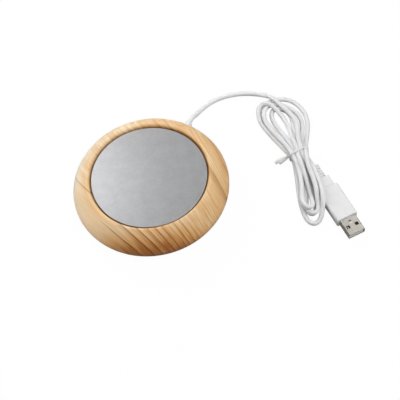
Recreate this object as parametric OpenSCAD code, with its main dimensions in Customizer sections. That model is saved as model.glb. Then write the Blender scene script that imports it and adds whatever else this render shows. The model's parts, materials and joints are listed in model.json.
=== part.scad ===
// Desk-top cup warmer: turned wooden casing, round metal hot plate, heater stack
// beneath it, and a low-voltage cord that ends in a flat USB plug.
// Units are millimetres, +Z is up, z = 0 is the surface the feet stand on, and
// the casing's turning axis is the Z axis.

/* [Casing] */
// Diameter of the casing at its widest level
casing_d = 106; // [102:1:112]
// Height of the casing's lip above the surface it stands on
casing_h = 23.5; // [22:0.5:27]
// Gap under the casing's flat underside
ground_gap = 1.5; // [1:0.25:2]
// Radius of the round between the underside and the widest level
edge_r = 8; // [7:0.5:9]
// Direction in which the round at the widest level passes into the crown, in degrees
crown_start = 20; // [12:1:26]
// Radius of the lip's rounding
lip_r = 1.8; // [1.2:0.1:2.4]
// Width of the ledge that carries the hot plate
ledge_w = 4; // [3:0.5:5]

/* [Hot plate] */
// Diameter of the hot plate
plate_d = 78.6; // [74:0.2:80]
// Thickness of the hot plate
plate_t = 1.8; // [1.4:0.1:2.4]
// Gap between the hot plate's edge and the casing
plate_gap = 0.7; // [0.4:0.1:1.2]
// How far the hot plate's top lies below the lip
plate_drop = 1.9; // [1:0.1:2.6]
// Rounding of the hot plate's top edge
plate_edge_r = 0.5; // [0.2:0.1:0.8]
// Thickness of the gasket that bonds the hot plate to its ledge
gasket_t = 0.5; // [0.3:0.1:1]
// How far the gasket stays back from the hot plate's edge
gasket_inset = 0.6; // [0.3:0.1:1.2]

/* [Heater stack] */
// Gap between the heater stack and the cavity's wall
stack_gap = 2; // [1:0.5:3]
// Thickness of each mica sheet
mica_t = 0.4; // [0.3:0.05:0.8]
// Thickness of the heating foil
foil_t = 0.25; // [0.15:0.05:0.4]
// Width of the heating foil's track
track_w = 2; // [1.4:0.1:2.6]
// Spacing of the heating foil's rings
track_pitch = 4; // [3.4:0.1:4.4]
// Number of rings in the heating foil
track_rings = 4; // [2:1:4]
// Radius of the innermost ring
track_r0 = 6; // [5:0.5:7]
// Thickness of the insulation pad
pad_t = 3; // [2:0.5:4]
// Thickness of the steel clamp plate
clamp_t = 0.8; // [0.6:0.1:1.2]
// Radius of the circle on which the clamp bosses stand
boss_circle_r = 27; // [26:0.5:28]
// Diameter of each clamp boss
boss_d = 6; // [5.5:0.5:7]
// Number of clamp bosses
boss_count = 3; // [3:1:4]
// Clearance round each boss in the sheets that it passes through
boss_gap = 0.3; // [0.2:0.1:0.5]

/* [Base] */
// Thickness of the base cover
cover_t = 2; // [1.6:0.2:3]
// Width of the cover's rim that lies on the casing
cover_rim_w = 6; // [5.5:0.5:6.5]
// Clearance round the cover in its recess
cover_gap = 0.2; // [0.1:0.05:0.4]
// Wall of the ring rib that centres the cover
rib_w = 1.6; // [1.2:0.2:2.4]
// Height of the ring rib
rib_h = 3; // [2:0.5:4]
// Diameter of each rubber foot
foot_d = 8; // [6:0.5:10]
// Height of each rubber foot
foot_h = 2; // [2:0.25:2.75]
// Radius of the circle on which the feet stand
foot_circle_r = 30; // [26:0.5:31]
// Number of feet, and of cover screws
foot_count = 4; // [3:1:4]

/* [Screws] */
// Thread diameter of the screws
screw_d = 2.6; // [2:0.2:3]
// Head diameter of the screws
head_d = 5; // [4.4:0.2:5.4]
// Head height of the pan-head screws
head_h = 1.6; // [1.2:0.2:2]
// Length of the cover screws under the surface of the cover
cover_screw_l = 9; // [7:0.5:11]

/* [Cord] */
// Diameter of the cord
cord_d = 3.2; // [3:0.1:3.8]
// Direction in which the cord leaves the casing, in degrees
outlet_azimuth = 55; // [45:1:65]
// Height of the cord outlet above the surface
outlet_z = 9; // [8.5:0.25:9.5]
// Diameter of the strain relief's shank through the casing
shank_d = 6.4; // [5.6:0.2:7]
// Diameter of the strain relief's flanges
flange_d = 9; // [8.4:0.2:9.6]
// Thickness of the strain relief's flanges
flange_t = 1.6; // [1.2:0.1:2]
// How deep the outer flange's flat seat is cut below the widest level
seat_depth = 1.6; // [1.2:0.1:2.2]
// Length of the strain relief's nose
nose_l = 3.4; // [2.5:0.1:6]
// Diameter of the nose at the flange
nose_d1 = 6.2; // [5.4:0.2:7]
// Diameter of the nose at its tip
nose_d2 = 4.8; // [4.4:0.2:5.2]
// Radius at which the cable clamp holds the cord
clamp_r = 26; // [24:0.5:28]
// Length of the cable clamp along the cord
clamp_l = 6; // [5:0.5:8]
// Distance of each clamp screw from the cord's middle
clamp_screw_x = 5.2; // [4.8:0.1:6]
// Width of the cable clamp across the cord
clamp_w = 16; // [15.6:0.2:18]
// Height of the cable clamp above the cord's middle
clamp_h = 2.9; // [2.6:0.1:3.2]
// Diameter of the inner leads
lead_d = 1.4; // [1.2:0.1:1.6]

/* [Thermal cutout] */
// Length of the thermal cutout
cutout_l = 16; // [12:1:18]
// Width of the thermal cutout
cutout_w = 7; // [6:0.5:8]
// Thickness of the thermal cutout
cutout_t = 3.4; // [3:0.2:3.8]
// Thickness of the spring clip that holds the thermal cutout
clip_t = 0.4; // [0.3:0.1:0.6]
// Width of the spring clip
clip_w = 5; // [4:0.5:6]
// Length of each foot of the spring clip
clip_foot_l = 4; // [3:0.5:5]

/* [Plug] */
// Length of the plug's wide body
body_l = 26.5; // [24:0.5:30]
// Width of the plug's wide body
body_w = 15; // [14:0.25:16]
// Thickness of the plug's wide body
body_t = 8; // [7.5:0.25:9]
// Length of the plug's neck
neck_l = 8.5; // [6:0.5:10]
// Width of the plug's neck
neck_w = 11.2; // [10:0.2:12]
// Thickness of the plug's neck
neck_t = 6.8; // [6:0.2:7.2]
// Corner radius of the plug's cross-section
body_corner = 1.6; // [1:0.1:2]
// Bevel round the ends of the plug's body and neck
body_bevel = 0.8; // [0.4:0.1:1.2]
// Length of the plug's ribbed relief
relief_l = 11; // [9:0.5:14]
// Width of the ribs
relief_w = 8; // [7:0.2:9]
// Thickness of the ribs
relief_t = 5.6; // [5:0.2:6]
// Depth of the grooves between the ribs
relief_groove = 0.9; // [0.5:0.1:1]
// Number of ribs
relief_ribs = 5; // [4:1:7]
// Share of each step along the relief that the rib takes
rib_share = 0.6; // [0.4:0.05:0.75]
// Width of the metal shell
shell_w = 12; // [11.8:0.1:12.2]
// Height of the metal shell
shell_h = 4.5; // [4.3:0.1:4.7]
// Sheet thickness of the metal shell
shell_t = 0.3; // [0.25:0.05:0.4]
// Corner radius of the metal shell
shell_corner = 0.8; // [0.6:0.05:1]
// Length of the shell outside the body
shell_l = 12.4; // [11.5:0.1:14]
// Length of the shell's root inside the body
shell_root = 8; // [6:0.5:10]
// Length of each latch window along the shell
window_l = 2.4; // [2:0.1:2.8]
// Width of each latch window
window_w = 2.4; // [2:0.1:2.5]
// Distance of the latch windows from the body
window_s = 5.4; // [5:0.1:7]
// Distance of each latch window from the plug's middle
window_x = 3.1; // [2.6:0.1:3.2]
// Thickness of the insulator's tongue
tongue_t = 1.9; // [1.7:0.1:2]
// How far the tongue stays back from the shell's mouth
tongue_inset = 0.6; // [0.3:0.1:1]
// Length of the insulator's full block from the body outwards
block_l = 2.2; // [1.5:0.1:3]
// Width of each contact
contact_w = 1; // [0.8:0.1:1.2]
// Thickness of each contact
contact_t = 0.3; // [0.2:0.05:0.4]
// Spacing of the two inner contacts
contact_pitch = 2; // [1.8:0.1:2.2]
// Distance of each outer contact from the plug's middle
contact_x = 3.5; // [3.3:0.1:3.7]
// How far the outer contacts stay back from the tongue's end
contact_inset = 0.9; // [0.6:0.1:1.2]
// How much further the inner contacts stay back
inner_inset = 1; // [0.6:0.1:1.5]
// Length of the inner moulding behind the shell
core_l = 10; // [8:0.5:12]

/* [Hidden] */

// Smoothness of round faces
round_fn = 96;
small_fn = 40;
// Steps in each rounded stretch of the casing's profile
arc_steps = 12;
// Overlap of a cut past the face that it opens
cut = 1;
// Play of parts that are pushed together by hand
play = 0.05;
full_turn = 360;
quarter_turn = 90;

// Casing and what sits in it
casing_r = casing_d / 2;
plate_r = plate_d / 2;
recess_r = plate_r + plate_gap;
cavity_r = recess_r - ledge_w;
plate_top = casing_h - plate_drop;
plate_bottom = plate_top - plate_t;
ledge_z = plate_bottom - gasket_t;
cover_r = cavity_r + cover_rim_w;
cover_top = ground_gap + cover_t;
side_centre = [casing_r - edge_r, ground_gap + edge_r];
side_end = side_centre + edge_r * heading(crown_start);
lip_centre = [recess_r + lip_r, casing_h - lip_r];
to_lip = lip_centre - side_end;
crown_r = (pow(lip_r, 2) - to_lip * to_lip) / (2 * (to_lip * heading(crown_start) + lip_r));
crown_centre = side_end - crown_r * heading(crown_start);
crown_end = atan2(lip_centre[1] - crown_centre[1], lip_centre[0] - crown_centre[0]);

// Heater stack, from the hot plate downwards
stack_r = cavity_r - stack_gap;
upper_mica_z = plate_bottom - mica_t;
foil_z = upper_mica_z - foil_t;
lower_mica_z = foil_z - mica_t;
pad_z = lower_mica_z - pad_t;
clamp_z = pad_z - clamp_t;
track_end_r = track_r0 + (track_rings - 1) * track_pitch;
// Gap in each ring of the foil, and the angle of the two foil ends
track_slit = 3;
tail_d = lead_d + 2 * play;
inner_tail = [-track_r0, track_slit / 2 + track_w / 2];
outer_tail = [-track_end_r, -track_slit / 2 - track_w / 2];

// Screws
clamp_screw_l = clamp_t + pad_t;
cover_screw_r = (cavity_r + cover_r) / 2;
cable_screw_l = 6;
foot_pocket = foot_h - ground_gap;

// Cord outlet; the outlet's own axis runs along +X before it is turned
flange_seat = casing_r - seat_depth;
flange_face = flange_seat + flange_t;
outlet_r = flange_face + nose_l;
inner_flange_r = sqrt(pow(cavity_r, 2) - pow(flange_d / 2, 2)) - play;
cord_inner_r = clamp_r - clamp_l;
outlet_dir = [cos(outlet_azimuth), sin(outlet_azimuth), 0];
outlet_point = outlet_r * outlet_dir + [0, 0, outlet_z];
cord_r = cord_d / 2;
cord_sides = 8;

// Thermal cutout, under the clamp plate beside the middle
cutout_at = [0, -14];
cutout_z = clamp_z - cutout_t;
clip_half = cutout_w / 2 + play;
lead_drop = 3;

// Plug: its own +X axis points at the shell's mouth, and its middle lies at half its thickness
plug_at = [124.5, -47.5, body_t / 2];
plug_turn = -71.8;
neck_start = -body_l - neck_l;
relief_start = neck_start - relief_l;
cavity_w = shell_w - 2 * shell_t;
cavity_h = shell_h - 2 * shell_t;
cavity_corner = shell_corner - shell_t;
tongue_w = cavity_w - 2 * cavity_corner;
tongue_top = -cavity_h / 2 + tongue_t;
core_w = shell_w - 2;
core_t = shell_h - 1;
core_start = -shell_root - core_l;
contact_tail = 2;

// Hank of the cord that is tied up: two flattened lobes and the bundle between them
hank_top = [98, 41.5];
hank_top_r = 17.8;
hank_bundle = [102, 12];
hank_bundle_r = 8.2;
hank_waist = [104, 3];
hank_waist_r = 5.4;
hank_belly = [105, -26];
hank_belly_r = 8.6;
hank_tip = [103.5, -41];
hank_tip_r = 7;
upper_lobe_h = 8.7;
bundle_h = 9.6;
lower_lobe_h = 8.4;
// Strands that cross over the plug's edge
crossing_h = 3.4;
crossing_gap = 0.3;
crossing_start = [110, -10];
crossing_end = [111.5, -31];
crossing_r = 3.2;
// Where the free cord reaches the hank, and the square end that it meets there
cord_end = [90, 62, 3.5];
cord_end_dir = [0.7, -0.7, 0];
entry_l = 9;
hank_gap = 0.3;

// Wire tie round the bundle, and its two twisted tails
tie_y = 11;
tie_d = 1.2;
tail_w = 2.6;
tail_t = 1;
tail_start = [92.8, 8.5];
tail_ends = [[85.4, 3.9], [88.6, 1.9]];

// Route of the free cord from the outlet to the hank
cord_points = concat(
    [outlet_point, outlet_point + 3 * outlet_dir],
    [
        [39, 56.5, 6.8], [43.5, 61.5, 4.6], [49.5, 65.5, 2.8], [56.5, 68, 1.8],
        [64, 69.2, 1.6], [72, 69, 1.6], [79.5, 67.6, 1.8], [84.5, 65.8, 2.7]
    ],
    [cord_end - 3 * cord_end_dir, cord_end]
);

// Unit vector in the plane at an angle
function heading(angle) = [cos(angle), sin(angle)];

// Unit vector along a vector
function unit(v) = v / norm(v);

// Points of an arc about a centre, from one angle to another
function arc(centre, radius, from, to, steps) =
    [for (i = [0 : steps]) centre + radius * heading(from + (to - from) * i / steps)];

// Direction of a route at one of its points
function along(route, i) =
    unit(route[min(i + 1, len(route) - 1)] - route[max(i - 1, 0)]);

// Ring of points about a point of a route; upright is any vector not along the route
function ring(point, direction, radius, sides, upright) =
    let (side = unit(cross(direction, upright)), top = cross(side, direction))
    [for (k = [0 : sides - 1])
        let (turn = full_turn * k / sides)
        point + radius * (cos(turn) * side + sin(turn) * top)];

// Closed tube swept along a route
module tube(route, radius, sides, upright = [0, 0, 1]) {
    rings = len(route);
    last = (rings - 1) * sides;
    walls = [
        for (i = [0 : rings - 2])
            for (k = [0 : sides - 1])
                let (next = (k + 1) % sides)
                [i * sides + k, i * sides + next, (i + 1) * sides + next, (i + 1) * sides + k]
    ];
    caps = [
        [for (k = [sides - 1 : -1 : 0]) k],
        [for (k = [0 : sides - 1]) last + k]
    ];
    polyhedron(
        points = [
            for (i = [0 : rings - 1])
                each ring(route[i], along(route, i), radius, sides, upright)
        ],
        faces = concat(walls, caps),
        convexity = 6
    );
}

// Copies its children evenly round the Z axis at a radius
module round_pattern(count, radius, start = 0) {
    for (i = [0 : count - 1])
        rotate([0, 0, start + full_turn * i / count])
            translate([radius, 0, 0])
                children();
}

// Flat disc with a bore
module washer(outer_r, inner_r, height) {
    difference() {
        cylinder(r = outer_r, h = height, $fn = round_fn);
        translate([0, 0, -cut])
            cylinder(r = inner_r, h = height + 2 * cut, $fn = round_fn);
    }
}

// Moves its children onto the cord outlet's axis, which then runs along +X
module at_outlet() {
    rotate([0, 0, outlet_azimuth])
        translate([0, 0, outlet_z])
            children();
}

// Cylinder along +X between two radii
module axle(from, to, d1, d2) {
    translate([from, 0, 0])
        rotate([0, quarter_turn, 0])
            cylinder(d1 = d1, d2 = d2, h = to - from, $fn = small_fn);
}

// Rectangle with round corners about its middle
module round_rect(width, height, corner) {
    square([width - 2 * corner, height], center = true);
    square([width, height - 2 * corner], center = true);
    for (x = [-1, 1])
        for (y = [-1, 1])
            translate([x * (width / 2 - corner), y * (height / 2 - corner)])
                circle(r = corner, $fn = small_fn);
}

// Bar along +X with the section of a rectangle with round corners
module bar(from, to, width, height, corner) {
    translate([from, 0, 0])
        rotate([quarter_turn, 0, quarter_turn])
            linear_extrude(height = to - from)
                round_rect(width, height, corner);
}

// Bar along +X whose two ends are bevelled
module bevelled_bar(from, to, width, height, corner, bevel) {
    hull() {
        bar(from + bevel, to - bevel, width, height, corner);
        bar(from, to, width - 2 * bevel, height - 2 * bevel, corner - bevel / 2);
    }
}

// Moves its children into the plug's own frame
module at_plug() {
    translate(plug_at)
        rotate([0, 0, plug_turn])
            children();
}

// Section of the turned casing, right of the axis
module casing_profile() {
    polygon(concat(
        [[cavity_r, cover_top], [cover_r + cover_gap, cover_top], [cover_r + cover_gap, ground_gap]],
        arc(side_centre, edge_r, -quarter_turn, crown_start, arc_steps),
        arc(crown_centre, crown_r, crown_start, crown_end, arc_steps),
        arc(lip_centre, lip_r, crown_end, 2 * quarter_turn, arc_steps),
        [[recess_r, ledge_z], [cavity_r, ledge_z]]
    ));
}

// Turned wooden ring: ledge for the hot plate, cavity for the heater, outlet bore
module wood_casing() {
    color([0.86, 0.72, 0.54])
        difference() {
            rotate_extrude($fn = round_fn)
                casing_profile();
            at_outlet() {
                axle(cavity_r - ledge_w, casing_r, shank_d, shank_d);
                axle(flange_seat, casing_r + cut, flange_d + 2 * play, flange_d + 2 * play);
            }
            round_pattern(foot_count, cover_screw_r, outlet_azimuth + full_turn / foot_count / 2)
                translate([0, 0, ground_gap])
                    cylinder(d = screw_d, h = cover_screw_l + cut, $fn = small_fn);
        }
}

// Round metal plate that a cup stands on, with bosses for the clamp screws below
module hot_plate() {
    color([0.80, 0.81, 0.82])
        difference() {
            union() {
                rotate_extrude($fn = round_fn)
                    polygon(concat(
                        [[0, plate_bottom], [plate_r, plate_bottom]],
                        arc([plate_r - plate_edge_r, plate_top - plate_edge_r], plate_edge_r,
                            0, quarter_turn, arc_steps),
                        [[0, plate_top]]
                    ));
                round_pattern(boss_count, boss_circle_r)
                    translate([0, 0, pad_z])
                        cylinder(d = boss_d, h = plate_bottom - pad_z + plate_t / 2, $fn = small_fn);
            }
            round_pattern(boss_count, boss_circle_r)
                translate([0, 0, pad_z - cut])
                    cylinder(d = screw_d, h = plate_bottom - pad_z + cut, $fn = small_fn);
        }
}

// Ring that bonds the hot plate to the casing's ledge
module plate_gasket() {
    color([0.20, 0.20, 0.21])
        translate([0, 0, ledge_z])
            washer(plate_r - gasket_inset, cavity_r + gasket_inset, gasket_t);
}

// Holes that the bosses pass through
module boss_holes(height) {
    round_pattern(boss_count, boss_circle_r)
        translate([0, 0, -cut])
            cylinder(d = boss_d + 2 * boss_gap, h = height + 2 * cut, $fn = small_fn);
}

// Holes that the foil's two tails pass through
module tail_holes(height) {
    for (tail = [inner_tail, outer_tail])
        translate([tail[0], tail[1], -cut])
            cylinder(d = tail_d, h = height + 2 * cut, $fn = small_fn);
}

// Flat round sheet of the heater stack
module sheet(height) {
    difference() {
        cylinder(r = stack_r, h = height, $fn = round_fn);
        boss_holes(height);
    }
}

// Mica sheet between the hot plate and the foil
module mica_upper() {
    color([0.76, 0.70, 0.58])
        translate([0, 0, upper_mica_z])
            sheet(mica_t);
}

// Etched foil: open rings joined end to end, with a tail down at each end
module heating_foil() {
    color([0.66, 0.60, 0.50]) {
        translate([0, 0, foil_z])
            linear_extrude(height = foil_t) {
                for (i = [0 : track_rings - 1])
                    foil_ring(track_r0 + i * track_pitch);
                for (i = [0 : track_rings - 2])
                    foil_link(track_r0 + i * track_pitch, i % 2 == 0 ? -1 : 1);
            }
        for (tail = [inner_tail, outer_tail])
            translate([tail[0], tail[1], clamp_z - lead_drop])
                cylinder(d = lead_d, h = foil_z + foil_t - clamp_z + lead_drop, $fn = small_fn);
    }
}

// One ring of the foil, open at -X
module foil_ring(radius) {
    difference() {
        circle(r = radius + track_w / 2, $fn = round_fn);
        circle(r = radius - track_w / 2, $fn = round_fn);
        translate([-radius - track_w, -track_slit / 2])
            square([2 * track_w, track_slit]);
    }
}

// Short track from one ring to the next, on one side of the slit
module foil_link(radius, side) {
    translate([-radius - track_pitch, side > 0 ? track_slit / 2 : -track_slit / 2 - track_w])
        square([track_pitch, track_w]);
}

// Mica sheet under the foil
module mica_lower() {
    color([0.76, 0.70, 0.58])
        translate([0, 0, lower_mica_z])
            difference() {
                sheet(mica_t);
                tail_holes(mica_t);
            }
}

// Ceramic-fibre pad that keeps the heat away from the base
module insulation_pad() {
    color([0.93, 0.92, 0.88])
        translate([0, 0, pad_z])
            difference() {
                sheet(pad_t);
                tail_holes(pad_t);
            }
}

// Steel disc that presses the stack against the hot plate
module clamp_plate() {
    color([0.62, 0.63, 0.65])
        translate([0, 0, clamp_z])
            difference() {
                cylinder(r = stack_r, h = clamp_t, $fn = round_fn);
                tail_holes(clamp_t);
                round_pattern(boss_count, boss_circle_r)
                    translate([0, 0, -cut])
                        cylinder(d = screw_d, h = clamp_t + 2 * cut, $fn = small_fn);
            }
}

// Pan-head screw with its seat at z = 0, its thread upwards and its head below
module pan_screw(length) {
    difference() {
        union() {
            cylinder(d = screw_d, h = length, $fn = small_fn);
            translate([0, 0, -head_h])
                cylinder(d = head_d, h = head_h, $fn = small_fn);
        }
        screw_cross(-head_h);
    }
}

// Cross recess in a screw's head, cut upwards from the head's face
module screw_cross(face_z) {
    for (turn = [0, quarter_turn])
        rotate([0, 0, turn])
            translate([-head_d / 4, -head_d / 16, face_z - cut])
                cube([head_d / 2, head_d / 8, cut + head_h / 2]);
}

// Screws from the clamp plate up into the hot plate's bosses
module clamp_screws() {
    color([0.70, 0.71, 0.73])
        round_pattern(boss_count, boss_circle_r)
            translate([0, 0, clamp_z])
                pan_screw(clamp_screw_l);
}

// Flat bimetal cutout that rests against the clamp plate
module thermal_cutout() {
    color([0.78, 0.79, 0.80])
        translate([cutout_at[0], cutout_at[1], cutout_z + cutout_t / 2])
            bar(-cutout_l / 2, cutout_l / 2, cutout_w, cutout_t, cutout_t / 4);
}

// Spring clip: a strap under the cutout with a foot on each side
module cutout_clip() {
    strap_z = cutout_z - clip_t;
    color([0.72, 0.73, 0.75])
        translate([cutout_at[0] - clip_w / 2, cutout_at[1], 0]) {
            translate([0, -clip_half - clip_t, strap_z])
                cube([clip_w, 2 * (clip_half + clip_t), clip_t]);
            for (side = [-1, 1])
                translate([0, side * (clip_half + clip_t / 2) - clip_t / 2, strap_z])
                    cube([clip_w, clip_t, clamp_z - strap_z]);
            for (side = [-1, 1])
                translate([0, side > 0 ? clip_half : -clip_half - clip_foot_l, clamp_z - clip_t])
                    cube([clip_w, clip_foot_l, clip_t]);
        }
}

// Two leads from the cord's inner end, and the jumper from the cutout to the foil
module inner_leads() {
    cord_tip = cord_inner_r * outlet_dir + [0, 0, outlet_z];
    apart = lead_d * [-sin(outlet_azimuth), cos(outlet_azimuth), 0] / 2;
    back = -lead_drop * outlet_dir;
    inner_end = [inner_tail[0], inner_tail[1], clamp_z - lead_drop];
    outer_end = [outer_tail[0], outer_tail[1], clamp_z - lead_drop];
    below = [0, 0, -lead_drop];
    beside = [lead_drop, 0, 0];
    cutout_mid = [cutout_at[0], cutout_at[1], cutout_z + cutout_t / 2];
    cutout_end = cutout_mid + [cutout_l / 2, 0, 0];
    cutout_start = cutout_mid - [cutout_l / 2, 0, 0];
    color([0.75, 0.20, 0.16]) {
        lead([cord_tip - apart, cord_tip - apart + back, cutout_end + 2 * beside, cutout_end + beside,
            cutout_end]);
        lead([cord_tip + apart, cord_tip + apart + back, inner_end + below, inner_end + below / 2,
            inner_end]);
        lead([cutout_start, cutout_start - beside, outer_end + below, outer_end + below / 2,
            outer_end]);
    }
}

// Insulated lead along a route that may also stand upright
module lead(route) {
    tube(route, lead_d / 2, cord_sides, [0.3, 0.1, 1]);
}

// Moulded base: disc, centring rib, cable saddle, screw holes and foot pockets
module base_cover() {
    saddle_z = outlet_z - cover_top;
    color([0.16, 0.16, 0.17])
        difference() {
            union() {
                translate([0, 0, ground_gap])
                    cylinder(r = cover_r, h = cover_t, $fn = round_fn);
                translate([0, 0, cover_top])
                    washer(cavity_r - cover_gap, cavity_r - cover_gap - rib_w, rib_h);
                at_outlet()
                    translate([clamp_r - clamp_l / 2, -clamp_w / 2, -saddle_z])
                        cube([clamp_l, clamp_w, saddle_z]);
            }
            at_outlet() {
                axle(0, casing_r, cord_d, cord_d);
                axle(cavity_r - cover_rim_w, casing_r, flange_d + 1, flange_d + 1);
                for (side = [-1, 1])
                    translate([clamp_r, side * clamp_screw_x, -saddle_z])
                        cylinder(d = screw_d, h = saddle_z + cut, $fn = small_fn);
            }
            round_pattern(foot_count, cover_screw_r, outlet_azimuth + full_turn / foot_count / 2) {
                translate([0, 0, ground_gap - cut])
                    cylinder(d = screw_d, h = cover_t + 2 * cut, $fn = small_fn);
                translate([0, 0, ground_gap])
                    cylinder(d1 = head_d, d2 = screw_d, h = head_h, $fn = small_fn);
            }
            round_pattern(foot_count, foot_circle_r, outlet_azimuth)
                translate([0, 0, ground_gap - cut])
                    cylinder(d = foot_d, h = foot_pocket + cut, $fn = small_fn);
        }
}

// Countersunk screws from below through the cover into the casing
module cover_screws() {
    color([0.70, 0.71, 0.73])
        round_pattern(foot_count, cover_screw_r, outlet_azimuth + full_turn / foot_count / 2)
            translate([0, 0, ground_gap])
                difference() {
                    union() {
                        cylinder(d = screw_d, h = cover_screw_l, $fn = small_fn);
                        cylinder(d1 = head_d, d2 = screw_d, h = head_h, $fn = small_fn);
                    }
                    screw_cross(0);
                }
}

// Rubber feet, stuck in the cover's pockets
module rubber_feet() {
    color([0.08, 0.08, 0.08])
        round_pattern(foot_count, foot_circle_r, outlet_azimuth)
            cylinder(d = foot_d, h = foot_h, $fn = small_fn);
}

// Upper half of the cable clamp
module cable_clamp() {
    color([0.16, 0.16, 0.17])
        at_outlet()
            difference() {
                translate([clamp_r - clamp_l / 2, -clamp_w / 2, 0])
                    cube([clamp_l, clamp_w, clamp_h]);
                axle(0, casing_r, cord_d, cord_d);
                for (side = [-1, 1])
                    translate([clamp_r, side * clamp_screw_x, -cut])
                        cylinder(d = screw_d, h = clamp_h + 2 * cut, $fn = small_fn);
            }
}

// Screws that close the cable clamp from above
module cable_clamp_screws() {
    color([0.70, 0.71, 0.73])
        at_outlet()
            for (side = [-1, 1])
                translate([clamp_r, side * clamp_screw_x, clamp_h])
                    mirror([0, 0, 1])
                        pan_screw(cable_screw_l);
}

// Moulded strain relief: inner flange, shank, outer flange and tapered nose
module strain_relief() {
    color([0.92, 0.92, 0.92])
        at_outlet()
            difference() {
                union() {
                    axle(inner_flange_r - flange_t, inner_flange_r, flange_d, flange_d);
                    axle(inner_flange_r - flange_t, flange_face, shank_d, shank_d);
                    axle(flange_seat, flange_face, flange_d, flange_d);
                    axle(flange_face - play, outlet_r, nose_d1, nose_d2);
                }
                axle(cord_inner_r, outlet_r + cut, cord_d, cord_d);
            }
}

// Cord inside the casing, from the nose's tip to behind the cable clamp
module cord_inner_end() {
    color([0.93, 0.93, 0.93])
        at_outlet()
            axle(cord_inner_r, outlet_r, cord_d, cord_d);
}

// Free cord from the outlet to the hank
module power_cord() {
    color([0.93, 0.93, 0.93])
        tube(cord_points, cord_r, cord_sides);
}

// Disc of one of the hank's rounds
module hank_disc(centre, radius) {
    translate(centre)
        circle(r = radius, $fn = small_fn);
}

// Whole plug with a margin round it, as room that the hank leaves free
module plug_room() {
    at_plug() {
        bar(-body_l - hank_gap, shell_l, body_w + 2 * hank_gap, body_t + 2 * hank_gap, body_corner);
        bar(neck_start - hank_gap, 0, neck_w + 2 * hank_gap, body_t + 2 * hank_gap, body_corner);
        bar(relief_start, 0, relief_w + 2 * hank_gap, body_t, body_corner);
    }
}

// Room of the wire tie in the bundle
module tie_room() {
    translate([0, tie_y - tie_d / 2, 0])
        difference() {
            translate([hank_bundle[0] - hank_top_r, 0, -cut])
                cube([2 * hank_top_r, tie_d, bundle_h + 2 * cut]);
            translate([0, -cut, 0])
                tie_inside(tie_d + 2 * cut);
        }
}

// Section of the bundle inside the wire tie
module tie_inside(length) {
    translate([hank_bundle[0], 0, bundle_h / 2])
        rotate([-quarter_turn, 0, 0])
            linear_extrude(height = length)
                round_rect(2 * (hank_bundle_r - tie_d), bundle_h - 2 * tie_d, bundle_h / 4);
}

// Outer shape of the tied-up cord
module cord_hank() {
    color([0.93, 0.93, 0.93])
        difference() {
            union() {
                linear_extrude(height = upper_lobe_h) {
                    hull() {
                        hank_disc(hank_top, hank_top_r);
                        hank_disc(hank_bundle, hank_bundle_r);
                    }
                    translate([cord_end[0], cord_end[1]])
                        rotate(atan2(cord_end_dir[1], cord_end_dir[0]))
                            translate([0, -cord_d])
                                square([entry_l, 2 * cord_d]);
                }
                linear_extrude(height = bundle_h)
                    hull() {
                        hank_disc(hank_bundle, hank_bundle_r);
                        hank_disc(hank_waist, hank_waist_r);
                    }
                linear_extrude(height = lower_lobe_h)
                    hull() {
                        hank_disc(hank_waist, hank_waist_r);
                        hank_disc(hank_belly, hank_belly_r);
                        hank_disc(hank_tip, hank_tip_r);
                    }
                linear_extrude(height = body_t + crossing_gap + crossing_h)
                    hull() {
                        hank_disc(crossing_start, crossing_r);
                        hank_disc(crossing_end, crossing_r);
                    }
            }
            plug_room();
            tie_room();
        }
}

// Wire tie: a closed turn round the bundle and two flat twisted tails
module cord_tie() {
    color([0.80, 0.80, 0.80]) {
        translate([0, tie_y - tie_d / 2, 0])
            difference() {
                translate([hank_bundle[0], 0, bundle_h / 2])
                    rotate([-quarter_turn, 0, 0])
                        linear_extrude(height = tie_d)
                            round_rect(2 * hank_bundle_r, bundle_h, bundle_h / 4);
                translate([0, -cut, 0])
                    tie_inside(tie_d + 2 * cut);
            }
        for (end = tail_ends)
            tie_tail(tail_start, end);
    }
}

// Flat tail of the wire tie on the surface
module tie_tail(from, to) {
    reach = to - from;
    translate([from[0], from[1], 0])
        rotate([0, 0, atan2(reach[1], reach[0])])
            translate([0, -tail_w / 2, 0])
                cube([norm(reach), tail_w, tail_t]);
}

// Soft outer moulding: body, neck and ribbed relief, with the room of what it holds
module plug_overmould() {
    step = relief_l / relief_ribs;
    color([0.94, 0.94, 0.94])
        at_plug()
            difference() {
                union() {
                    bevelled_bar(-body_l, 0, body_w, body_t, body_corner, body_bevel);
                    bevelled_bar(neck_start, -body_l + 2 * body_bevel, neck_w, neck_t,
                        body_corner, body_bevel);
                    bar(relief_start, neck_start + body_bevel + cut,
                        relief_w - 2 * relief_groove, relief_t - 2 * relief_groove,
                        body_corner - relief_groove / 2);
                    for (i = [0 : relief_ribs - 1])
                        bar(relief_start + i * step, relief_start + (i + rib_share) * step,
                            relief_w, relief_t, body_corner);
                }
                bar(-shell_root, cut, shell_w, shell_h, shell_corner);
                bar(core_start, -shell_root + play, core_w, core_t, shell_corner);
                axle(relief_start - cut, core_start + play, cord_d, cord_d);
            }
}

// Inner moulding that holds the contacts' tails behind the shell
module plug_core() {
    color([0.88, 0.88, 0.86])
        at_plug()
            difference() {
                bar(core_start, -shell_root, core_w, core_t, shell_corner);
                contact_set();
            }
}

// Cord inside the plug's relief
module plug_cord_end() {
    color([0.93, 0.93, 0.93])
        at_plug()
            axle(relief_start, core_start, cord_d, cord_d);
}

// Folded steel shell with its latch windows on both faces
module plug_shell() {
    color([0.78, 0.77, 0.74])
        at_plug()
            difference() {
                bar(-shell_root, shell_l, shell_w, shell_h, shell_corner);
                bar(-shell_root - cut, shell_l + cut, cavity_w, cavity_h, cavity_corner);
                for (side = [-1, 1])
                    translate([window_s, side * window_x - window_w / 2, -shell_h])
                        cube([window_l, window_w, 2 * shell_h]);
            }
}

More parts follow.
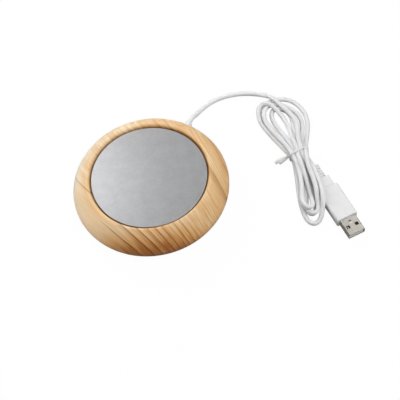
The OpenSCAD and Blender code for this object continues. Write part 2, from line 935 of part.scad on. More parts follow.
// Insulator: full block at the root, and the tongue along the lower half
module plug_insulator() {
    color([0.93, 0.93, 0.92])
        at_plug()
            difference() {
                union() {
                    bar(-shell_root, block_l, cavity_w, cavity_h, cavity_corner);
                    translate([-shell_root, -tongue_w / 2, -cavity_h / 2])
                        cube([shell_root + shell_l - tongue_inset, tongue_w, tongue_t]);
                }
                contact_set();
            }
}

// Four flat contacts let into the tongue
module contact_set() {
    for (side = [-1, 1]) {
        contact(side * contact_pitch / 2, contact_inset + inner_inset);
        contact(side * contact_x, contact_inset);
    }
}

// One contact at a distance from the plug's middle
module contact(x, inset) {
    translate([-shell_root - contact_tail, x - contact_w / 2, tongue_top - contact_t + play])
        cube([shell_root + contact_tail + shell_l - tongue_inset - inset, contact_w, contact_t]);
}

// The contacts themselves
module plug_contacts() {
    color([0.83, 0.68, 0.32])
        at_plug()
            contact_set();
}

wood_casing();
hot_plate();
plate_gasket();
mica_upper();
heating_foil();
mica_lower();
insulation_pad();
clamp_plate();
clamp_screws();
thermal_cutout();
cutout_clip();
inner_leads();
base_cover();
cover_screws();
rubber_feet();
cable_clamp();
cable_clamp_screws();
strain_relief();
cord_inner_end();
power_cord();
cord_hank();
cord_tie();
plug_overmould();
plug_core();
plug_cord_end();
plug_shell();
plug_insulator();
plug_contacts();
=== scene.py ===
"""Visual model of a cup warmer: wooden casing, metal hot plate, tied-up cord and flat plug.

The classes hold their sizes in millimetres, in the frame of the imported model: +Z is up, the
origin is the middle of the casing on the surface that it stands on. Meshes are made in metres.
"""

import json
import logging
import math
from dataclasses import dataclass, field, replace
from enum import Enum

import bpy
import numpy as np
from mathutils import Matrix, Vector


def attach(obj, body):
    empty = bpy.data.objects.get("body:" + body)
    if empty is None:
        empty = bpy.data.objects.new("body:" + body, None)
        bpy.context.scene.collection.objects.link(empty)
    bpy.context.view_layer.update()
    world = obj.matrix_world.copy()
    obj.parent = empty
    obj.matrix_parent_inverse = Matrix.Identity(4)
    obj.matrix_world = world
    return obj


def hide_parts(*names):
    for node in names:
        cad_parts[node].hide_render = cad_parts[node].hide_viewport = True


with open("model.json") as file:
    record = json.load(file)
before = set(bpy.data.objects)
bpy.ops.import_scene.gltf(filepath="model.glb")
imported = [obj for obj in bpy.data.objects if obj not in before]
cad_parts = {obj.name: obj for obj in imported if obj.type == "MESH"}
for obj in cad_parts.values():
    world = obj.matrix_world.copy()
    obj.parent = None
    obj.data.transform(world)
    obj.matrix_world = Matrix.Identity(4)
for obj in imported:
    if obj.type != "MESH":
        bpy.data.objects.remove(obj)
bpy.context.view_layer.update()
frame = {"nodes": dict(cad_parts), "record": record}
MM = 0.001
BODY = "root"
UP = np.array([0.0, 0.0, 1.0])
LOG = logging.getLogger("cup_warmer")

Socket = bpy.types.NodeSocket
Point = tuple[float, float, float]
Numbers = np.ndarray | list[float] | float


# --------------------------------------------------------------------------- meshes


def grid_quads(rows: int, sides: int, closed: bool = False) -> list:
    """Quads between rings of vertices that are numbered ring by ring.

    Args:
        rows: Number of rings.
        sides: Number of vertices in each ring, which closes on itself.
        closed: Whether the last ring also joins the first.

    Returns:
        A list of four vertex numbers for each quad.
    """
    row, side = np.meshgrid(np.arange(rows if closed else rows - 1), np.arange(sides), indexing="ij")
    after = (side + 1) % sides
    low, high = row * sides, (row + 1) % rows * sides
    return np.stack([low + side, low + after, high + after, high + side], axis=-1).reshape(-1, 4).tolist()


def skin(rings: np.ndarray) -> list:
    """Faces of a skin over rings of vertices (rings, sides, 3), with a flat face over each end."""
    rows, sides = rings.shape[:2]
    first = list(range(sides - 1, -1, -1))
    last = list(range((rows - 1) * sides, rows * sides))
    return grid_quads(rows, sides) + [first, last]


def make_piece(
    name: str, rings: np.ndarray, sharp_angle: float = 40.0, faces: list | None = None
) -> bpy.types.Object:
    """Makes an object from rings of vertices, shaded smooth up to an angle.

    Args:
        name: Name of the object and its mesh.
        rings: Array of shape (rings, sides, 3) in millimetres.
        sharp_angle: Edges that bend more than this many degrees stay sharp.
        faces: Lists of vertex numbers, turning outwards, or none for a skin over the rings.

    Returns:
        The object, linked to the scene, with its place in its mesh.
    """
    mesh = bpy.data.meshes.new(name)
    mesh.from_pydata((rings.reshape(-1, 3) * MM).tolist(), [], faces or skin(rings))
    mesh.validate()
    mesh.polygons.foreach_set("use_smooth", np.ones(len(mesh.polygons), dtype=bool))
    mesh.set_sharp_from_angle(angle=math.radians(sharp_angle))
    mesh.update()
    piece = bpy.data.objects.new(name, mesh)
    bpy.context.scene.collection.objects.link(piece)
    return piece


def unit(vectors: np.ndarray) -> np.ndarray:
    """The same vectors with a length of one."""
    return vectors / np.linalg.norm(vectors, axis=-1, keepdims=True)


def heading(degrees: float) -> np.ndarray:
    """Level unit vector at an angle from +X towards +Y."""
    angle = math.radians(degrees)
    return np.array([math.cos(angle), math.sin(angle), 0.0])


def circle(sides: int) -> np.ndarray:
    """Cosines and sines of evenly spaced angles round a full turn, as two rows."""
    angle = np.linspace(0.0, 2.0 * np.pi, sides, endpoint=False)
    return np.stack([np.cos(angle), np.sin(angle)])


def swept_rings(path: np.ndarray, upright: np.ndarray, across: np.ndarray, above: np.ndarray) -> np.ndarray:
    """Rings of a section carried along a path.

    Each point of a ring is path + across * side + above * top, where side is the unit vector
    square to the path and to upright, and top is square to both.

    Args:
        path: Array (n, 3) of the middle line.
        upright: Vector that is nowhere along the path.
        across: Array (sides) or (n, sides) of the section's places to the side.
        above: Array of the same shape of the section's places to the top.

    Returns:
        Array (n, sides, 3).
    """
    along = unit(np.gradient(path, axis=0))
    side = unit(np.cross(along, upright))
    top = np.cross(side, along)
    return path[:, None] + across[..., None] * side[:, None] + above[..., None] * top[:, None]


def lathe_rings(radii: np.ndarray, heights: np.ndarray, segments: int) -> np.ndarray:
    """Rings of a turned shape: each is a circle of its radius at its height about +Z."""
    x, y = radii[:, None] * circle(segments)[:, None]
    return np.stack([x, y, np.broadcast_to(heights[:, None], x.shape)], axis=-1)


def even_steps(path: np.ndarray, step: float) -> np.ndarray:
    """The same path with its points moved to equal distances of about one step."""
    length = np.concatenate([[0.0], np.cumsum(np.linalg.norm(np.diff(path, axis=0), axis=1))])
    places = np.linspace(0.0, length[-1], int(round(length[-1] / step)) + 1)
    return np.stack([np.interp(places, length, path[:, axis]) for axis in range(3)], axis=1)


def smooth_path(points: np.ndarray, step: float, samples: int = 24) -> np.ndarray:
    """Smooth curve through points, with points at equal steps.

    Between two points it is the cubic whose slopes there are those of a centripetal
    Catmull-Rom curve, so that it doesn't swing out where the points are uneven.

    Args:
        points: Array (n, 3) of the points that it passes through.
        step: Distance between the points that are returned.
        samples: Number of places at which each cubic is worked out.

    Returns:
        Array (m, 3).
    """
    p = np.vstack([2 * points[0] - points[1], points, 2 * points[-1] - points[-2]])
    gap = np.sqrt(np.maximum(np.linalg.norm(np.diff(p, axis=0), axis=1), 1e-6))[:, None]
    before, here, after = gap[:-2], gap[1:-1], gap[2:]
    start, end = p[1:-2], p[2:-1]
    slope_in = here * ((start - p[:-3]) / before - (end - p[:-3]) / (before + here) + (end - start) / here)
    slope_out = here * ((end - start) / here - (p[3:] - start) / (here + after) + (p[3:] - end) / after)
    t = np.linspace(0.0, 1.0, samples, endpoint=False)[None, :, None]
    curve = (
        (2 * t**3 - 3 * t**2 + 1) * start[:, None]
        + (t**3 - 2 * t**2 + t) * slope_in[:, None]
        + (3 * t**2 - 2 * t**3) * end[:, None]
        + (t**3 - t**2) * slope_out[:, None]
    )
    return even_steps(np.vstack([curve.reshape(-1, 3), points[-1:]]), step)


# ------------------------------------------------------------------------- materials


@dataclass(frozen=True)
class Fade:
    """Even change from one number to another between two limits, steady outside them."""

    low: float
    high: float
    start: float
    end: float


@dataclass(frozen=True)
class Pattern:
    """Noise: how fast it changes along each axis in a millimetre, its detail and roughness."""

    pitch: Point
    detail: float = 2.0
    roughness: float = 0.5


@dataclass(frozen=True)
class Signal:
    """A number or colour that changes over a surface; plain arithmetic with it adds nodes."""

    sheet: "NodeSheet"
    socket: Socket

    def __add__(self, other: "Signal | float") -> "Signal":
        """Sum of two values."""
        return self.sheet.math("ADD", self, other)

    def __sub__(self, other: "Signal | float") -> "Signal":
        """This value less another."""
        return self.sheet.math("SUBTRACT", self, other)

    def __mul__(self, other: "Signal | float") -> "Signal":
        """Product of two values."""
        return self.sheet.math("MULTIPLY", self, other)

    def gap(self, middle: float) -> "Signal":
        """Distance of this value from a middle one."""
        return self.sheet.math("ABSOLUTE", self - middle)

    def fade(self, fade: Fade) -> "Signal":
        """The number that a fade gives at this value."""
        limits = (fade.low, fade.high, fade.start, fade.end)
        return Signal(self.sheet, self.sheet.add("ShaderNodeMapRange", self, *limits, clamp=True).outputs[0])

    def about(self, middle: float, spread: float) -> "Signal":
        """The usual range of a noise, moved to a middle number and as far to each side."""
        return self.fade(Fade(0.3, 0.7, middle - spread, middle + spread))

    def clamped(self) -> "Signal":
        """The same result of a math node, kept from 0 to 1."""
        self.socket.node.use_clamp = True
        return self


class NodeSheet:
    """A node tree with short calls for the nodes that the finishes use."""

    def __init__(self, tree: bpy.types.NodeTree) -> None:
        """Starts from an empty tree."""
        self.tree = tree
        tree.nodes.clear()

    def add(self, kind: str, *inputs: object, **settings: object) -> bpy.types.Node:
        """Adds a node.

        Args:
            kind: Kind of node.
            inputs: Values for its inputs, from the first on.
            settings: The node's own settings.

        Returns:
            The node.
        """
        node = self.tree.nodes.new(kind)
        for key, value in settings.items():
            setattr(node, key, value)
        for target, value in zip(node.inputs, inputs):
            self.put(target, value)
        return node

    def put(self, target: Socket, value: object) -> None:
        """Links a value to an input, or writes it there; a colour of three numbers is opaque."""
        if isinstance(value, Signal):
            value = value.socket
        if isinstance(value, Socket):
            self.tree.links.new(value, target)
        else:
            target.default_value = (*value[:3], 1.0) if target.type == "RGBA" else value

    def math(self, operation: str, first: object, second: object = 0.0) -> Signal:
        """Result of a math node."""
        return Signal(self, self.add("ShaderNodeMath", first, second, operation=operation).outputs[0])

    def mapped(self, vector: Socket, scale: Point, turn: float = 0.0, shift: Point = (0.0,) * 3) -> Socket:
        """Vector scaled, then turned about Z by an angle in degrees, then shifted."""
        return self.add("ShaderNodeMapping", vector, shift, (0.0, 0.0, math.radians(turn)), scale).outputs[0]

    def length(self, vector: Socket) -> Signal:
        """Length of a vector."""
        return Signal(self, self.add("ShaderNodeVectorMath", vector, operation="LENGTH").outputs["Value"])

    def noise(self, vector: Socket, scale: object, detail: float, roughness: float = 0.5) -> Signal:
        """Value of a noise texture, about 0.5 on average."""
        node = self.add("ShaderNodeTexNoise", vector, 0.0, scale, detail, roughness)
        return Signal(self, node.outputs["Fac"])

    def pattern(self, vector: Socket, pattern: Pattern) -> Signal:
        """Value of a noise pattern that is stretched along the axes."""
        return self.noise(self.mapped(vector, pattern.pitch), 1.0, pattern.detail, pattern.roughness)

    def ramp(self, value: Signal, stops: list | tuple, stepped: bool = False) -> Signal:
        """Colour of a colour ramp.

        Args:
            value: The value that picks the colour.
            stops: Pairs of a place from 0 to 1 and a colour, at most 32 of them.
            stepped: Whether each colour holds until the next stop.

        Returns:
            The colour.
        """
        node = self.add("ShaderNodeValToRGB", value)
        node.color_ramp.interpolation = "CONSTANT" if stepped else "LINEAR"
        elements = node.color_ramp.elements
        while len(elements) < len(stops):
            elements.new(1.0)
        for element, (place, colour) in zip(elements, stops):
            element.position = place
            element.color = (*colour, 1.0)
        return Signal(self, node.outputs["Color"])

    def mix(self, factor: object, first: object, second: object, blend: str = "MIX") -> Signal:
        """Colour mixed from two."""
        node = self.add("ShaderNodeMix", data_type="RGBA", blend_type=blend)
        for name, value in (("Factor", factor), ("A", first), ("B", second)):
            self.put(node.inputs[name], value)
        return Signal(self, next(out for out in node.outputs if out.type == "RGBA"))

    def shade_apart(
        self, output: bpy.types.Node, plain: bpy.types.Node, seen: bpy.types.Node, share: float = 1.0
    ) -> None:
        """Gives an output one shader for the light and another for what the camera sees.

        Args:
            output: The output node.
            plain: Node of the shader that lights the scene.
            seen: Node of the shader that the camera sees.
            share: How much of the second the camera sees.
        """
        camera_ray = self.math("MULTIPLY", self.add("ShaderNodeLightPath").outputs["Is Camera Ray"], share)
        mixed = self.add("ShaderNodeMixShader", camera_ray, plain.outputs[0], seen.outputs[0])
        self.put(output.inputs["Surface"], mixed.outputs[0])


def surface_group() -> bpy.types.NodeTree:
    """Group that clouds a colour and gives the fine relief of a moulded or pressed surface.

    Returns:
        The group: Vector in millimetres, Colour, Cloud Size, Contrast and Grain Size in, and
        the clouded Colour, a Mask about 0.5 and a Height out.
    """
    name = "Surface clouds and grain"
    if name in bpy.data.node_groups:
        return bpy.data.node_groups[name]
    tree = bpy.data.node_groups.new(name, "ShaderNodeTree")
    sheet = NodeSheet(tree)
    for label, kind, value in (
        ("Vector", "Vector", (0.0, 0.0, 0.0)),
        ("Colour", "Color", (0.8, 0.8, 0.8, 1.0)),
        ("Cloud Size", "Float", 8.0),
        ("Contrast", "Float", 0.05),
        ("Grain Size", "Float", 0.3),
    ):
        socket = tree.interface.new_socket(label, in_out="INPUT", socket_type="NodeSocket" + kind)
        socket.default_value = value
    for label, kind in (("Colour", "Color"), ("Mask", "Float"), ("Height", "Float")):
        tree.interface.new_socket(label, in_out="OUTPUT", socket_type="NodeSocket" + kind)
    source = sheet.add("NodeGroupInput").outputs
    result = sheet.add("NodeGroupOutput").inputs
    clouds, grain = (
        sheet.noise(source["Vector"], sheet.math("DIVIDE", 1.0, source[size]), detail, 0.6)
        for size, detail in (("Cloud Size", 3.0), ("Grain Size", 2.0))
    )
    level = (clouds - 0.5) * sheet.math("MULTIPLY", source["Contrast"], 4.0) + 1.0
    grey = sheet.add("ShaderNodeCombineColor", level, level, level).outputs["Color"]
    sheet.put(result["Colour"], sheet.mix(1.0, source["Colour"], grey, "MULTIPLY"))
    sheet.put(result["Mask"], clouds)
    sheet.put(result["Height"], clouds * 0.5 + grain * 0.5)
    return tree


class Paint(NodeSheet):
    """A material's tree, with its shader and the object's own coordinates in millimetres."""

    def __init__(self, name: str) -> None:
        """Makes the material, its shader and its output."""
        self.material = bpy.data.materials.new(name)
        self.material.use_nodes = True
        super().__init__(self.material.node_tree)
        self.shader = self.add("ShaderNodeBsdfPrincipled")
        self.output = self.add("ShaderNodeOutputMaterial")
        self.tree.links.new(self.shader.outputs["BSDF"], self.output.inputs["Surface"])
        self.place = self.mapped(self.add("ShaderNodeTexCoord").outputs["Object"], (1 / MM,) * 3)

    def set(self, **values: object) -> None:
        """Sets shader inputs; a word's underscores stand for spaces."""
        for key, value in values.items():
            self.put(self.shader.inputs[key.replace("_", " ")], value)

    def bump(self, height: Signal, depth_mm: float) -> None:
        """Feeds a height into the shader's normal, with its depth in millimetres."""
        node = self.add("ShaderNodeBump")
        node.inputs["Strength"].default_value = 1.0
        node.inputs["Distance"].default_value = depth_mm * MM
        self.put(node.inputs["Height"], height)
        self.put(self.shader.inputs["Normal"], node.outputs["Normal"])

    def radius(self) -> Signal:
        """Distance from the Z axis in millimetres."""
        return self.length(self.mapped(self.place, (1.0, 1.0, 0.0)))

    def surface(self, colour: Point, cloud_size: float, contrast: float, grain_size: float) -> list[Signal]:
        """Places the shared group of clouds and grain.

        Args:
            colour: The surface's colour.
            cloud_size: Size of the clouds in millimetres.
            contrast: How much they change the colour.
            grain_size: Size of the relief in millimetres.

        Returns:
            The clouded colour, the clouds' mask and the relief's height.
        """
        values = (self.place, colour, cloud_size, contrast, grain_size)
        node = self.add("ShaderNodeGroup", *values, node_tree=surface_group())
        return [Signal(self, output) for output in node.outputs]


@dataclass(frozen=True)
class Moulded:
    """Moulded plastic or rubber: one colour with faint clouds and a fine, even relief."""

    name: str
    colour: Point
    roughness: float = 0.42
    cloud_size: float = 9.0
    contrast: float = 0.03
    grain_size: float = 0.35
    depth: float = 0.012
    uneven: float = 0.05
    coat: float = 0.0
    translucency: float = 0.0
    scatter: float = 1.2
    scatter_colour: Point = (1.0, 0.95, 0.9)

    def build(self) -> bpy.types.Material:
        """Makes the material."""
        paint = Paint(self.name)
        colour, mask, relief = paint.surface(self.colour, self.cloud_size, self.contrast, self.grain_size)
        rough = mask.about(self.roughness, self.uneven)
        paint.set(Base_Color=colour, Roughness=rough, Coat_Weight=self.coat)
        if self.translucency > 0.0:
            paint.set(Subsurface_Weight=self.translucency, Subsurface_Scale=self.scatter * MM)
            paint.set(Subsurface_Radius=self.scatter_colour)
        paint.bump(relief, self.depth)
        return paint.material


class BrushLay(Enum):
    """Direction of the fine lines that a metal's finishing leaves."""

    NONE = (1.0, 1.0, 1.0)
    ALONG_X = (0.05, 1.0, 1.0)
    ALONG_Y = (1.0, 0.05, 1.0)


@dataclass(frozen=True)
class Metal:
    """Bare or plated metal with fine lines, clouds and a little unevenness."""

    name: str
    colour: Point
    roughness: float = 0.35
    lay: BrushLay = BrushLay.NONE
    turn: float = 0.0
    line_size: float = 0.25
    depth: float = 0.006
    cloud_size: float = 14.0
    contrast: float = 0.04
    uneven: float = 0.06
    speckle: float = 0.0
    speckle_colour: Point = (0.5, 0.5, 0.53)
    # Painted shade of the shadow gap round the plate: the radius where it starts, its width, share and
    # colour.
    gap_shade_radius: float = 0.0
    gap_shade_width: float = 0.25
    gap_shade_share: float = 0.75
    gap_shade_colour: Point = (0.10, 0.085, 0.07)

    def build(self) -> bpy.types.Material:
        """Makes the material, with painted shade of the shadow gap outside a radius if one is given."""
        paint = Paint(self.name)
        colour, mask, _ = paint.surface(self.colour, self.cloud_size, self.contrast, self.line_size)
        vector = paint.mapped(paint.mapped(paint.place, (1.0, 1.0, 1.0), self.turn), self.lay.value)
        lines = paint.noise(vector, 1.0 / self.line_size, 2.0, 0.6)
        if self.speckle > 0.0:
            colour = paint.mix(lines.fade(Fade(0.35, 0.65, 0.0, self.speckle)), colour, self.speckle_colour)
        # Painted shade: the colour darkens outside the radius, for the shadow gap round the plate.
        if self.gap_shade_radius > 0.0:
            edge = Fade(self.gap_shade_radius, self.gap_shade_radius + self.gap_shade_width, 0.0, self.gap_shade_share)
            colour = paint.mix(paint.radius().fade(edge), colour, self.gap_shade_colour)
        rough = (mask * 0.6 + lines * 0.4).about(self.roughness, self.uneven)
        paint.set(Base_Color=colour, Metallic=1.0, Roughness=rough)
        paint.bump(lines, self.depth)
        return paint.material


@dataclass(frozen=True)
class TurnedWood:
    """Satin-varnished softwood, cut across its year rings by the turning.

    The ring coordinate runs square to the rings: a plane's coordinate, slightly bent by terms
    of the second and third order. Each ring darkens slowly from early to late wood, ends in a
    fine dark line and starts light again. Painted shade darkens the foot of the front with a
    warm patch, and the front, the recess wall and the right side; painted light pales the left,
    along with a light part of the board, and a painted sheen greys the upper back-left crown.
    Each year ring is the place of its dark end, and how dark it is.
    The swath and the first line are two more dark bands: a place across the rings, how far
    they reach to its sides, and where along X they show.
    """

    name: str = "Turned wood"
    board_turn: float = 30.06
    rise: float = 0.327
    bends: tuple[float, ...] = (0.00342, -0.0016, -0.0005, -0.00106, 0.00036)
    twists: tuple[float, float] = (0.0000236, -0.0000196)
    middle_height: float = 15.0
    half_width: float = 60.0
    rings: tuple[tuple[float, float], ...] = (
        (-58.0, 0.10), (-51.0, 0.20), (-44.3, 0.10), (-40.2, 0.85), (-33.2, 0.95), (-28.0, 1.00),
        (-23.1, 0.60), (-19.2, 0.90), (-14.8, 0.80), (-10.0, 0.40), (-6.5, 1.00), (-1.4, 0.70),
        (3.6, 0.45), (7.4, 0.38), (11.1, 0.22), (15.2, 0.16), (19.6, 0.45), (22.9, 0.32), (27.1, 0.22),
        (31.0, 0.22), (36.8, 0.16), (40.4, 0.16), (44.6, 0.45), (50.5, 0.12), (57.4, 0.40),
    )
    late_power: float = 2.4
    late_share: float = 0.26
    late_line: Fade = Fade(0.77, 0.90, 0.0, 0.74)
    early_light: Fade = Fade(0.02, 0.55, 1.0, 0.0)

    ripple: Pattern = Pattern((0.14, 0.05, 0.10))
    cloud: Pattern = Pattern((0.10, 0.02, 0.05), 2.0, 0.6)
    streak: Pattern = Pattern((0.75, 0.018, 0.10), 3.0, 0.6)
    fibre: Pattern = Pattern((4.0, 0.10, 0.8), 4.0, 0.65)
    pore: Pattern = Pattern((5.0, 0.30, 2.0), 1.0)
    ripple_width: float = 1.1

    # Painted shade: a warm, dark patch at the foot of the front, frayed by the clouds.
    foot_shade_centre: Point = (-4.0, -56.0, 8.0)
    foot_shade_size: Point = (38.0, 22.0, 15.0)
    foot_shade_tone: Fade = Fade(0.50, 1.32, 0.64, 0.0)
    foot_shade_fray: float = 0.7

    rings_to_back: Fade = Fade(-22.0, 14.0, 1.0, 0.30)
    rings_to_left: Fade = Fade(-37.0, -29.0, 0.08, 1.0)
    rings_to_lip: Fade = Fade(21.5, 23.2, 1.0, 0.72)
    swath: tuple[float, Fade, Fade] = (42.9, Fade(0.7, 3.4, 0.42, 0.0), Fade(30.0, 38.0, 0.0, 1.0))
    first_line: tuple[float, Fade, Fade] = (-30.9, Fade(0.25, 0.75, 0.55, 0.0), Fade(-39.0, -36.0, 1.0, 0.0))

    ground_tone: float = 0.36
    # The left is paler: partly a light part of the board, partly painted light.
    pale_lit_left: Fade = Fade(-52.0, -27.0, 0.38, 0.0)
    pale_to_lip: Fade = Fade(20.8, 23.0, 1.0, 0.35)
    pale_back: Fade = Fade(20.0, 48.0, 0.0, 0.10)
    upper_half: Fade = Fade(8.0, 14.5, -0.3, 1.0)
    # Painted shade: darker towards the front.
    front_shade: Fade = Fade(-46.0, -26.0, 0.10, 0.0)
    corner_from: Fade = Fade(-48.0, -36.0, 0.0, 0.10)
    corner_to: Fade = Fade(-34.0, -24.0, 1.0, -0.7)
    corner_reach: Fade = Fade(-44.0, -28.0, 1.0, 0.0)
    # Painted shade on the wall of the recess round the plate.
    recess_shade: Fade = Fade(40.1, 40.7, 0.30, 0.0)
    # Painted shade: darker towards the right side.
    right_shade: Fade = Fade(34.0, 50.0, 0.0, 0.14)
    busy_right: Fade = Fade(-40.0, -20.0, 0.22, 1.15)
    busy_back: Fade = Fade(-2.0, 12.0, 0.0, 1.3)
    fibre_tone: float = 0.22
    cloud_tone: float = 0.55
    late_tone: float = 0.16
    early_tone: float = 0.12

    tones: tuple[tuple[float, Point], ...] = (
        (0.0, (0.87, 0.69, 0.465)),
        (0.33, (0.725, 0.49, 0.258)),
        (0.48, (0.72, 0.425, 0.185)),
        (0.62, (0.665, 0.352, 0.122)),
        (1.0, (0.41, 0.145, 0.028)),
    )
    line_tint: Point = (0.38, 0.25, 0.15)
    line_share: float = 0.85
    pore_share: Fade = Fade(0.64, 0.76, 0.0, 0.22)
    # Painted sheen: a grey tint on the upper back-left crown, where the varnish would reflect light.
    painted_sheen_colour: Point = (0.58, 0.635, 0.60)
    painted_sheen_back: Fade = Fade(40.0, 66.0, 0.0, 0.36)
    painted_sheen_side: Fade = Fade(43.0, 50.0, 0.45, 1.0)
    warm_colour: Point = (0.95, 0.55, 0.24)
    warm_left: Fade = Fade(-44.0, -22.0, 0.36, 0.0)
    warm_front: Fade = Fade(-30.0, -14.0, 1.0, 0.0)
    roughness: float = 0.42
    uneven: float = 0.06
    varnish: float = 0.05
    varnish_roughness: float = 0.30
    fibre_depth: float = 0.02

    def board(self, x: Signal, y: Signal, z: Signal) -> tuple[Signal, Signal]:
        """Ring coordinate, and the coordinate along the fibres.

        Args:
            x: First coordinate in millimetres.
            y: Second coordinate.
            z: Height.

        Returns:
            The two coordinates in millimetres.
        """
        turn = math.radians(self.board_turn)
        up, square = z - self.middle_height, x * x
        flat = x * math.cos(turn) + y * math.sin(turn) + up * self.rise
        xx, xy, yy, xz, yz = self.bends
        bent = x * xx * x + x * xy * y + y * yy * y + x * xz * up + y * yz * up
        twisted = square * self.twists[0] * x + square * self.twists[1] * y
        return flat + bent + twisted, x * -math.sin(turn) + y * math.cos(turn)

    def ring_shade(self, paint: Paint, across: Signal) -> tuple[Signal, Signal]:
        """Late wood's shade and early wood's light.

        One ramp numbers the rings across the board, so that the fraction of its value is the
        place within a ring; the other gives each ring its depth.

        Args:
            paint: The material's sheet.
            across: The ring coordinate.

        Returns:
            The two shades, each from 0 to 1.
        """
        count = len(self.rings)
        places = [(place + self.half_width) / (2 * self.half_width) for place, _ in self.rings]
        share = across.fade(Fade(-self.half_width, self.half_width, 0.0, 1.0))
        numbers = paint.ramp(share, [(place, ((k + 1) / count,) * 3) for k, place in enumerate(places)])
        stops = [(place, (depth,) * 3) for place, (_, depth) in zip([0.0] + places, self.rings)]
        depths = paint.ramp(share, stops, stepped=True)
        within = paint.math("FRACT", numbers * float(count))
        rise = paint.math("POWER", within, self.late_power) * self.late_share
        return (rise + within.fade(self.late_line)) * depths, within.fade(self.early_light) * depths

    def build(self) -> bpy.types.Material:
        """Makes the material."""
        paint = Paint(self.name)
        x, y, z = (Signal(paint, axis) for axis in paint.add("ShaderNodeSeparateXYZ", paint.place).outputs)
        across, along = self.board(x, y, z)
        board = paint.add("ShaderNodeCombineXYZ", across, along, z)
        ripple, cloud, streaks, fibres, pores = (
            paint.pattern(board.outputs[0], pattern)
            for pattern in (self.ripple, self.cloud, self.streak, self.fibre, self.pore)
        )
        radius, left, upper = paint.radius(), x.fade(self.rings_to_left), z.fade(self.upper_half)

        late, early = self.ring_shade(paint, across + (ripple - 0.5) * self.ripple_width)
        contrast = y.fade(self.rings_to_back) * left * z.fade(self.rings_to_lip)
        late = late * contrast
        for place, width, extent in (self.swath, self.first_line):
            late = late + across.gap(place).fade(width) * x.fade(extent)

        # Painted shade at the foot of the front.
        scale = tuple(1 / size for size in self.foot_shade_size)
        shift = tuple(-centre / size for centre, size in zip(self.foot_shade_centre, self.foot_shade_size))
        reach = paint.length(paint.mapped(paint.place, scale, shift=shift))
        foot_shade = (reach + (cloud - 0.5) * self.foot_shade_fray).fade(self.foot_shade_tone)
        # Paler left: partly a light part of the board, partly painted light.
        pale = x.fade(self.pale_lit_left) * z.fade(self.pale_to_lip)
        corner = x.fade(self.corner_from) * x.fade(self.corner_to) * y.fade(self.corner_reach)
        busy = paint.math("MAXIMUM", x.fade(self.busy_right), y.fade(self.busy_back))
        tone = (
            foot_shade
            + self.ground_tone
            - (pale + y.fade(self.pale_back) * upper)
            # Painted shade towards the front.
            + y.fade(self.front_shade) * left
            + corner
            # Painted shade on the wall of the recess and on the right side.
            + (radius.fade(self.recess_shade) + x.fade(self.right_shade))
            + (streaks - 0.5) * busy
            + (fibres - 0.5) * self.fibre_tone
            + (cloud - 0.5) * self.cloud_tone
            + late * self.late_tone
            - early * contrast * self.early_tone
        )

        colour = paint.ramp(tone.clamped(), self.tones)
        dark = paint.mix(1.0, colour, self.line_tint, "MULTIPLY")
        # Painted sheen on the upper back-left crown.
        painted_sheen = (y - x).fade(self.painted_sheen_back) * (radius.fade(self.painted_sheen_side) * upper)
        for share, tint in (
            ((late * self.line_share).clamped(), dark),
            (pores.fade(self.pore_share), dark),
            (painted_sheen, self.painted_sheen_colour),
            (x.fade(self.warm_left) * y.fade(self.warm_front), self.warm_colour),
        ):
            colour = paint.mix(share, colour, tint)
        paint.set(Base_Color=colour, Roughness=fibres.about(self.roughness, self.uneven))
        paint.set(Coat_Weight=self.varnish, Coat_Roughness=self.varnish_roughness)
        paint.bump(fibres, self.fibre_depth)
        return paint.material


@dataclass(frozen=True)
class FibreSheet:
    """Pressed mica or ceramic fibre: flakes or short fibres in a pale ground."""

    name: str
    ground: Point
    fleck: Point
    fleck_size: float
    fleck_edge: Fade = Fade(0.1, 0.7, 0.0, 1.0)
    roughness: float = 0.7
    depth: float = 0.05

    def build(self) -> bpy.types.Material:
        """Makes the material."""
        paint = Paint(self.name)
        cells = paint.add("ShaderNodeTexVoronoi", paint.place, 0.0, 1.0 / self.fleck_size)
        mask = Signal(paint, cells.outputs["Distance"]).fade(self.fleck_edge)
        paint.set(Base_Color=paint.mix(mask, self.ground, self.fleck), Roughness=self.roughness)
        paint.bump(mask, self.depth)
        return paint.material


# ---------------------------------------------------------------------- the pieces


@dataclass(frozen=True)
class Outlet:
    """Level axis on which the cord leaves the casing: its bearing in degrees and its height."""

    azimuth: float = 55.0
    height: float = 9.0

    def circles(self, places: Numbers, radii: Numbers, sides: int) -> np.ndarray:
        """Rings of circles about the outlet's axis.

        Args:
            places: Distance of each from the casing's middle.
            radii: Radius of each.
            sides: Number of points of each.

        Returns:
            Array (n, sides, 3).
        """
        places, radii = (np.array(values)[:, None, None] for values in (places, radii))
        across, above = circle(sides)[..., None]
        ring = across * heading(self.azimuth + 90) + above * UP
        return places * heading(self.azimuth) + radii * ring + self.height * UP


@dataclass(frozen=True)
class Settling:
    """How the strands come to rest.

    rounds is the number of rounds, hold the share of the way back to its chosen place that a
    point goes in one, fall how far the cord sinks in the first, sideways the share of an
    overlap that is taken up in plan, and pinch the share of the way back inside the waist.
    """

    rounds: int
    hold: float
    fall: float
    sideways: float
    pinch: float


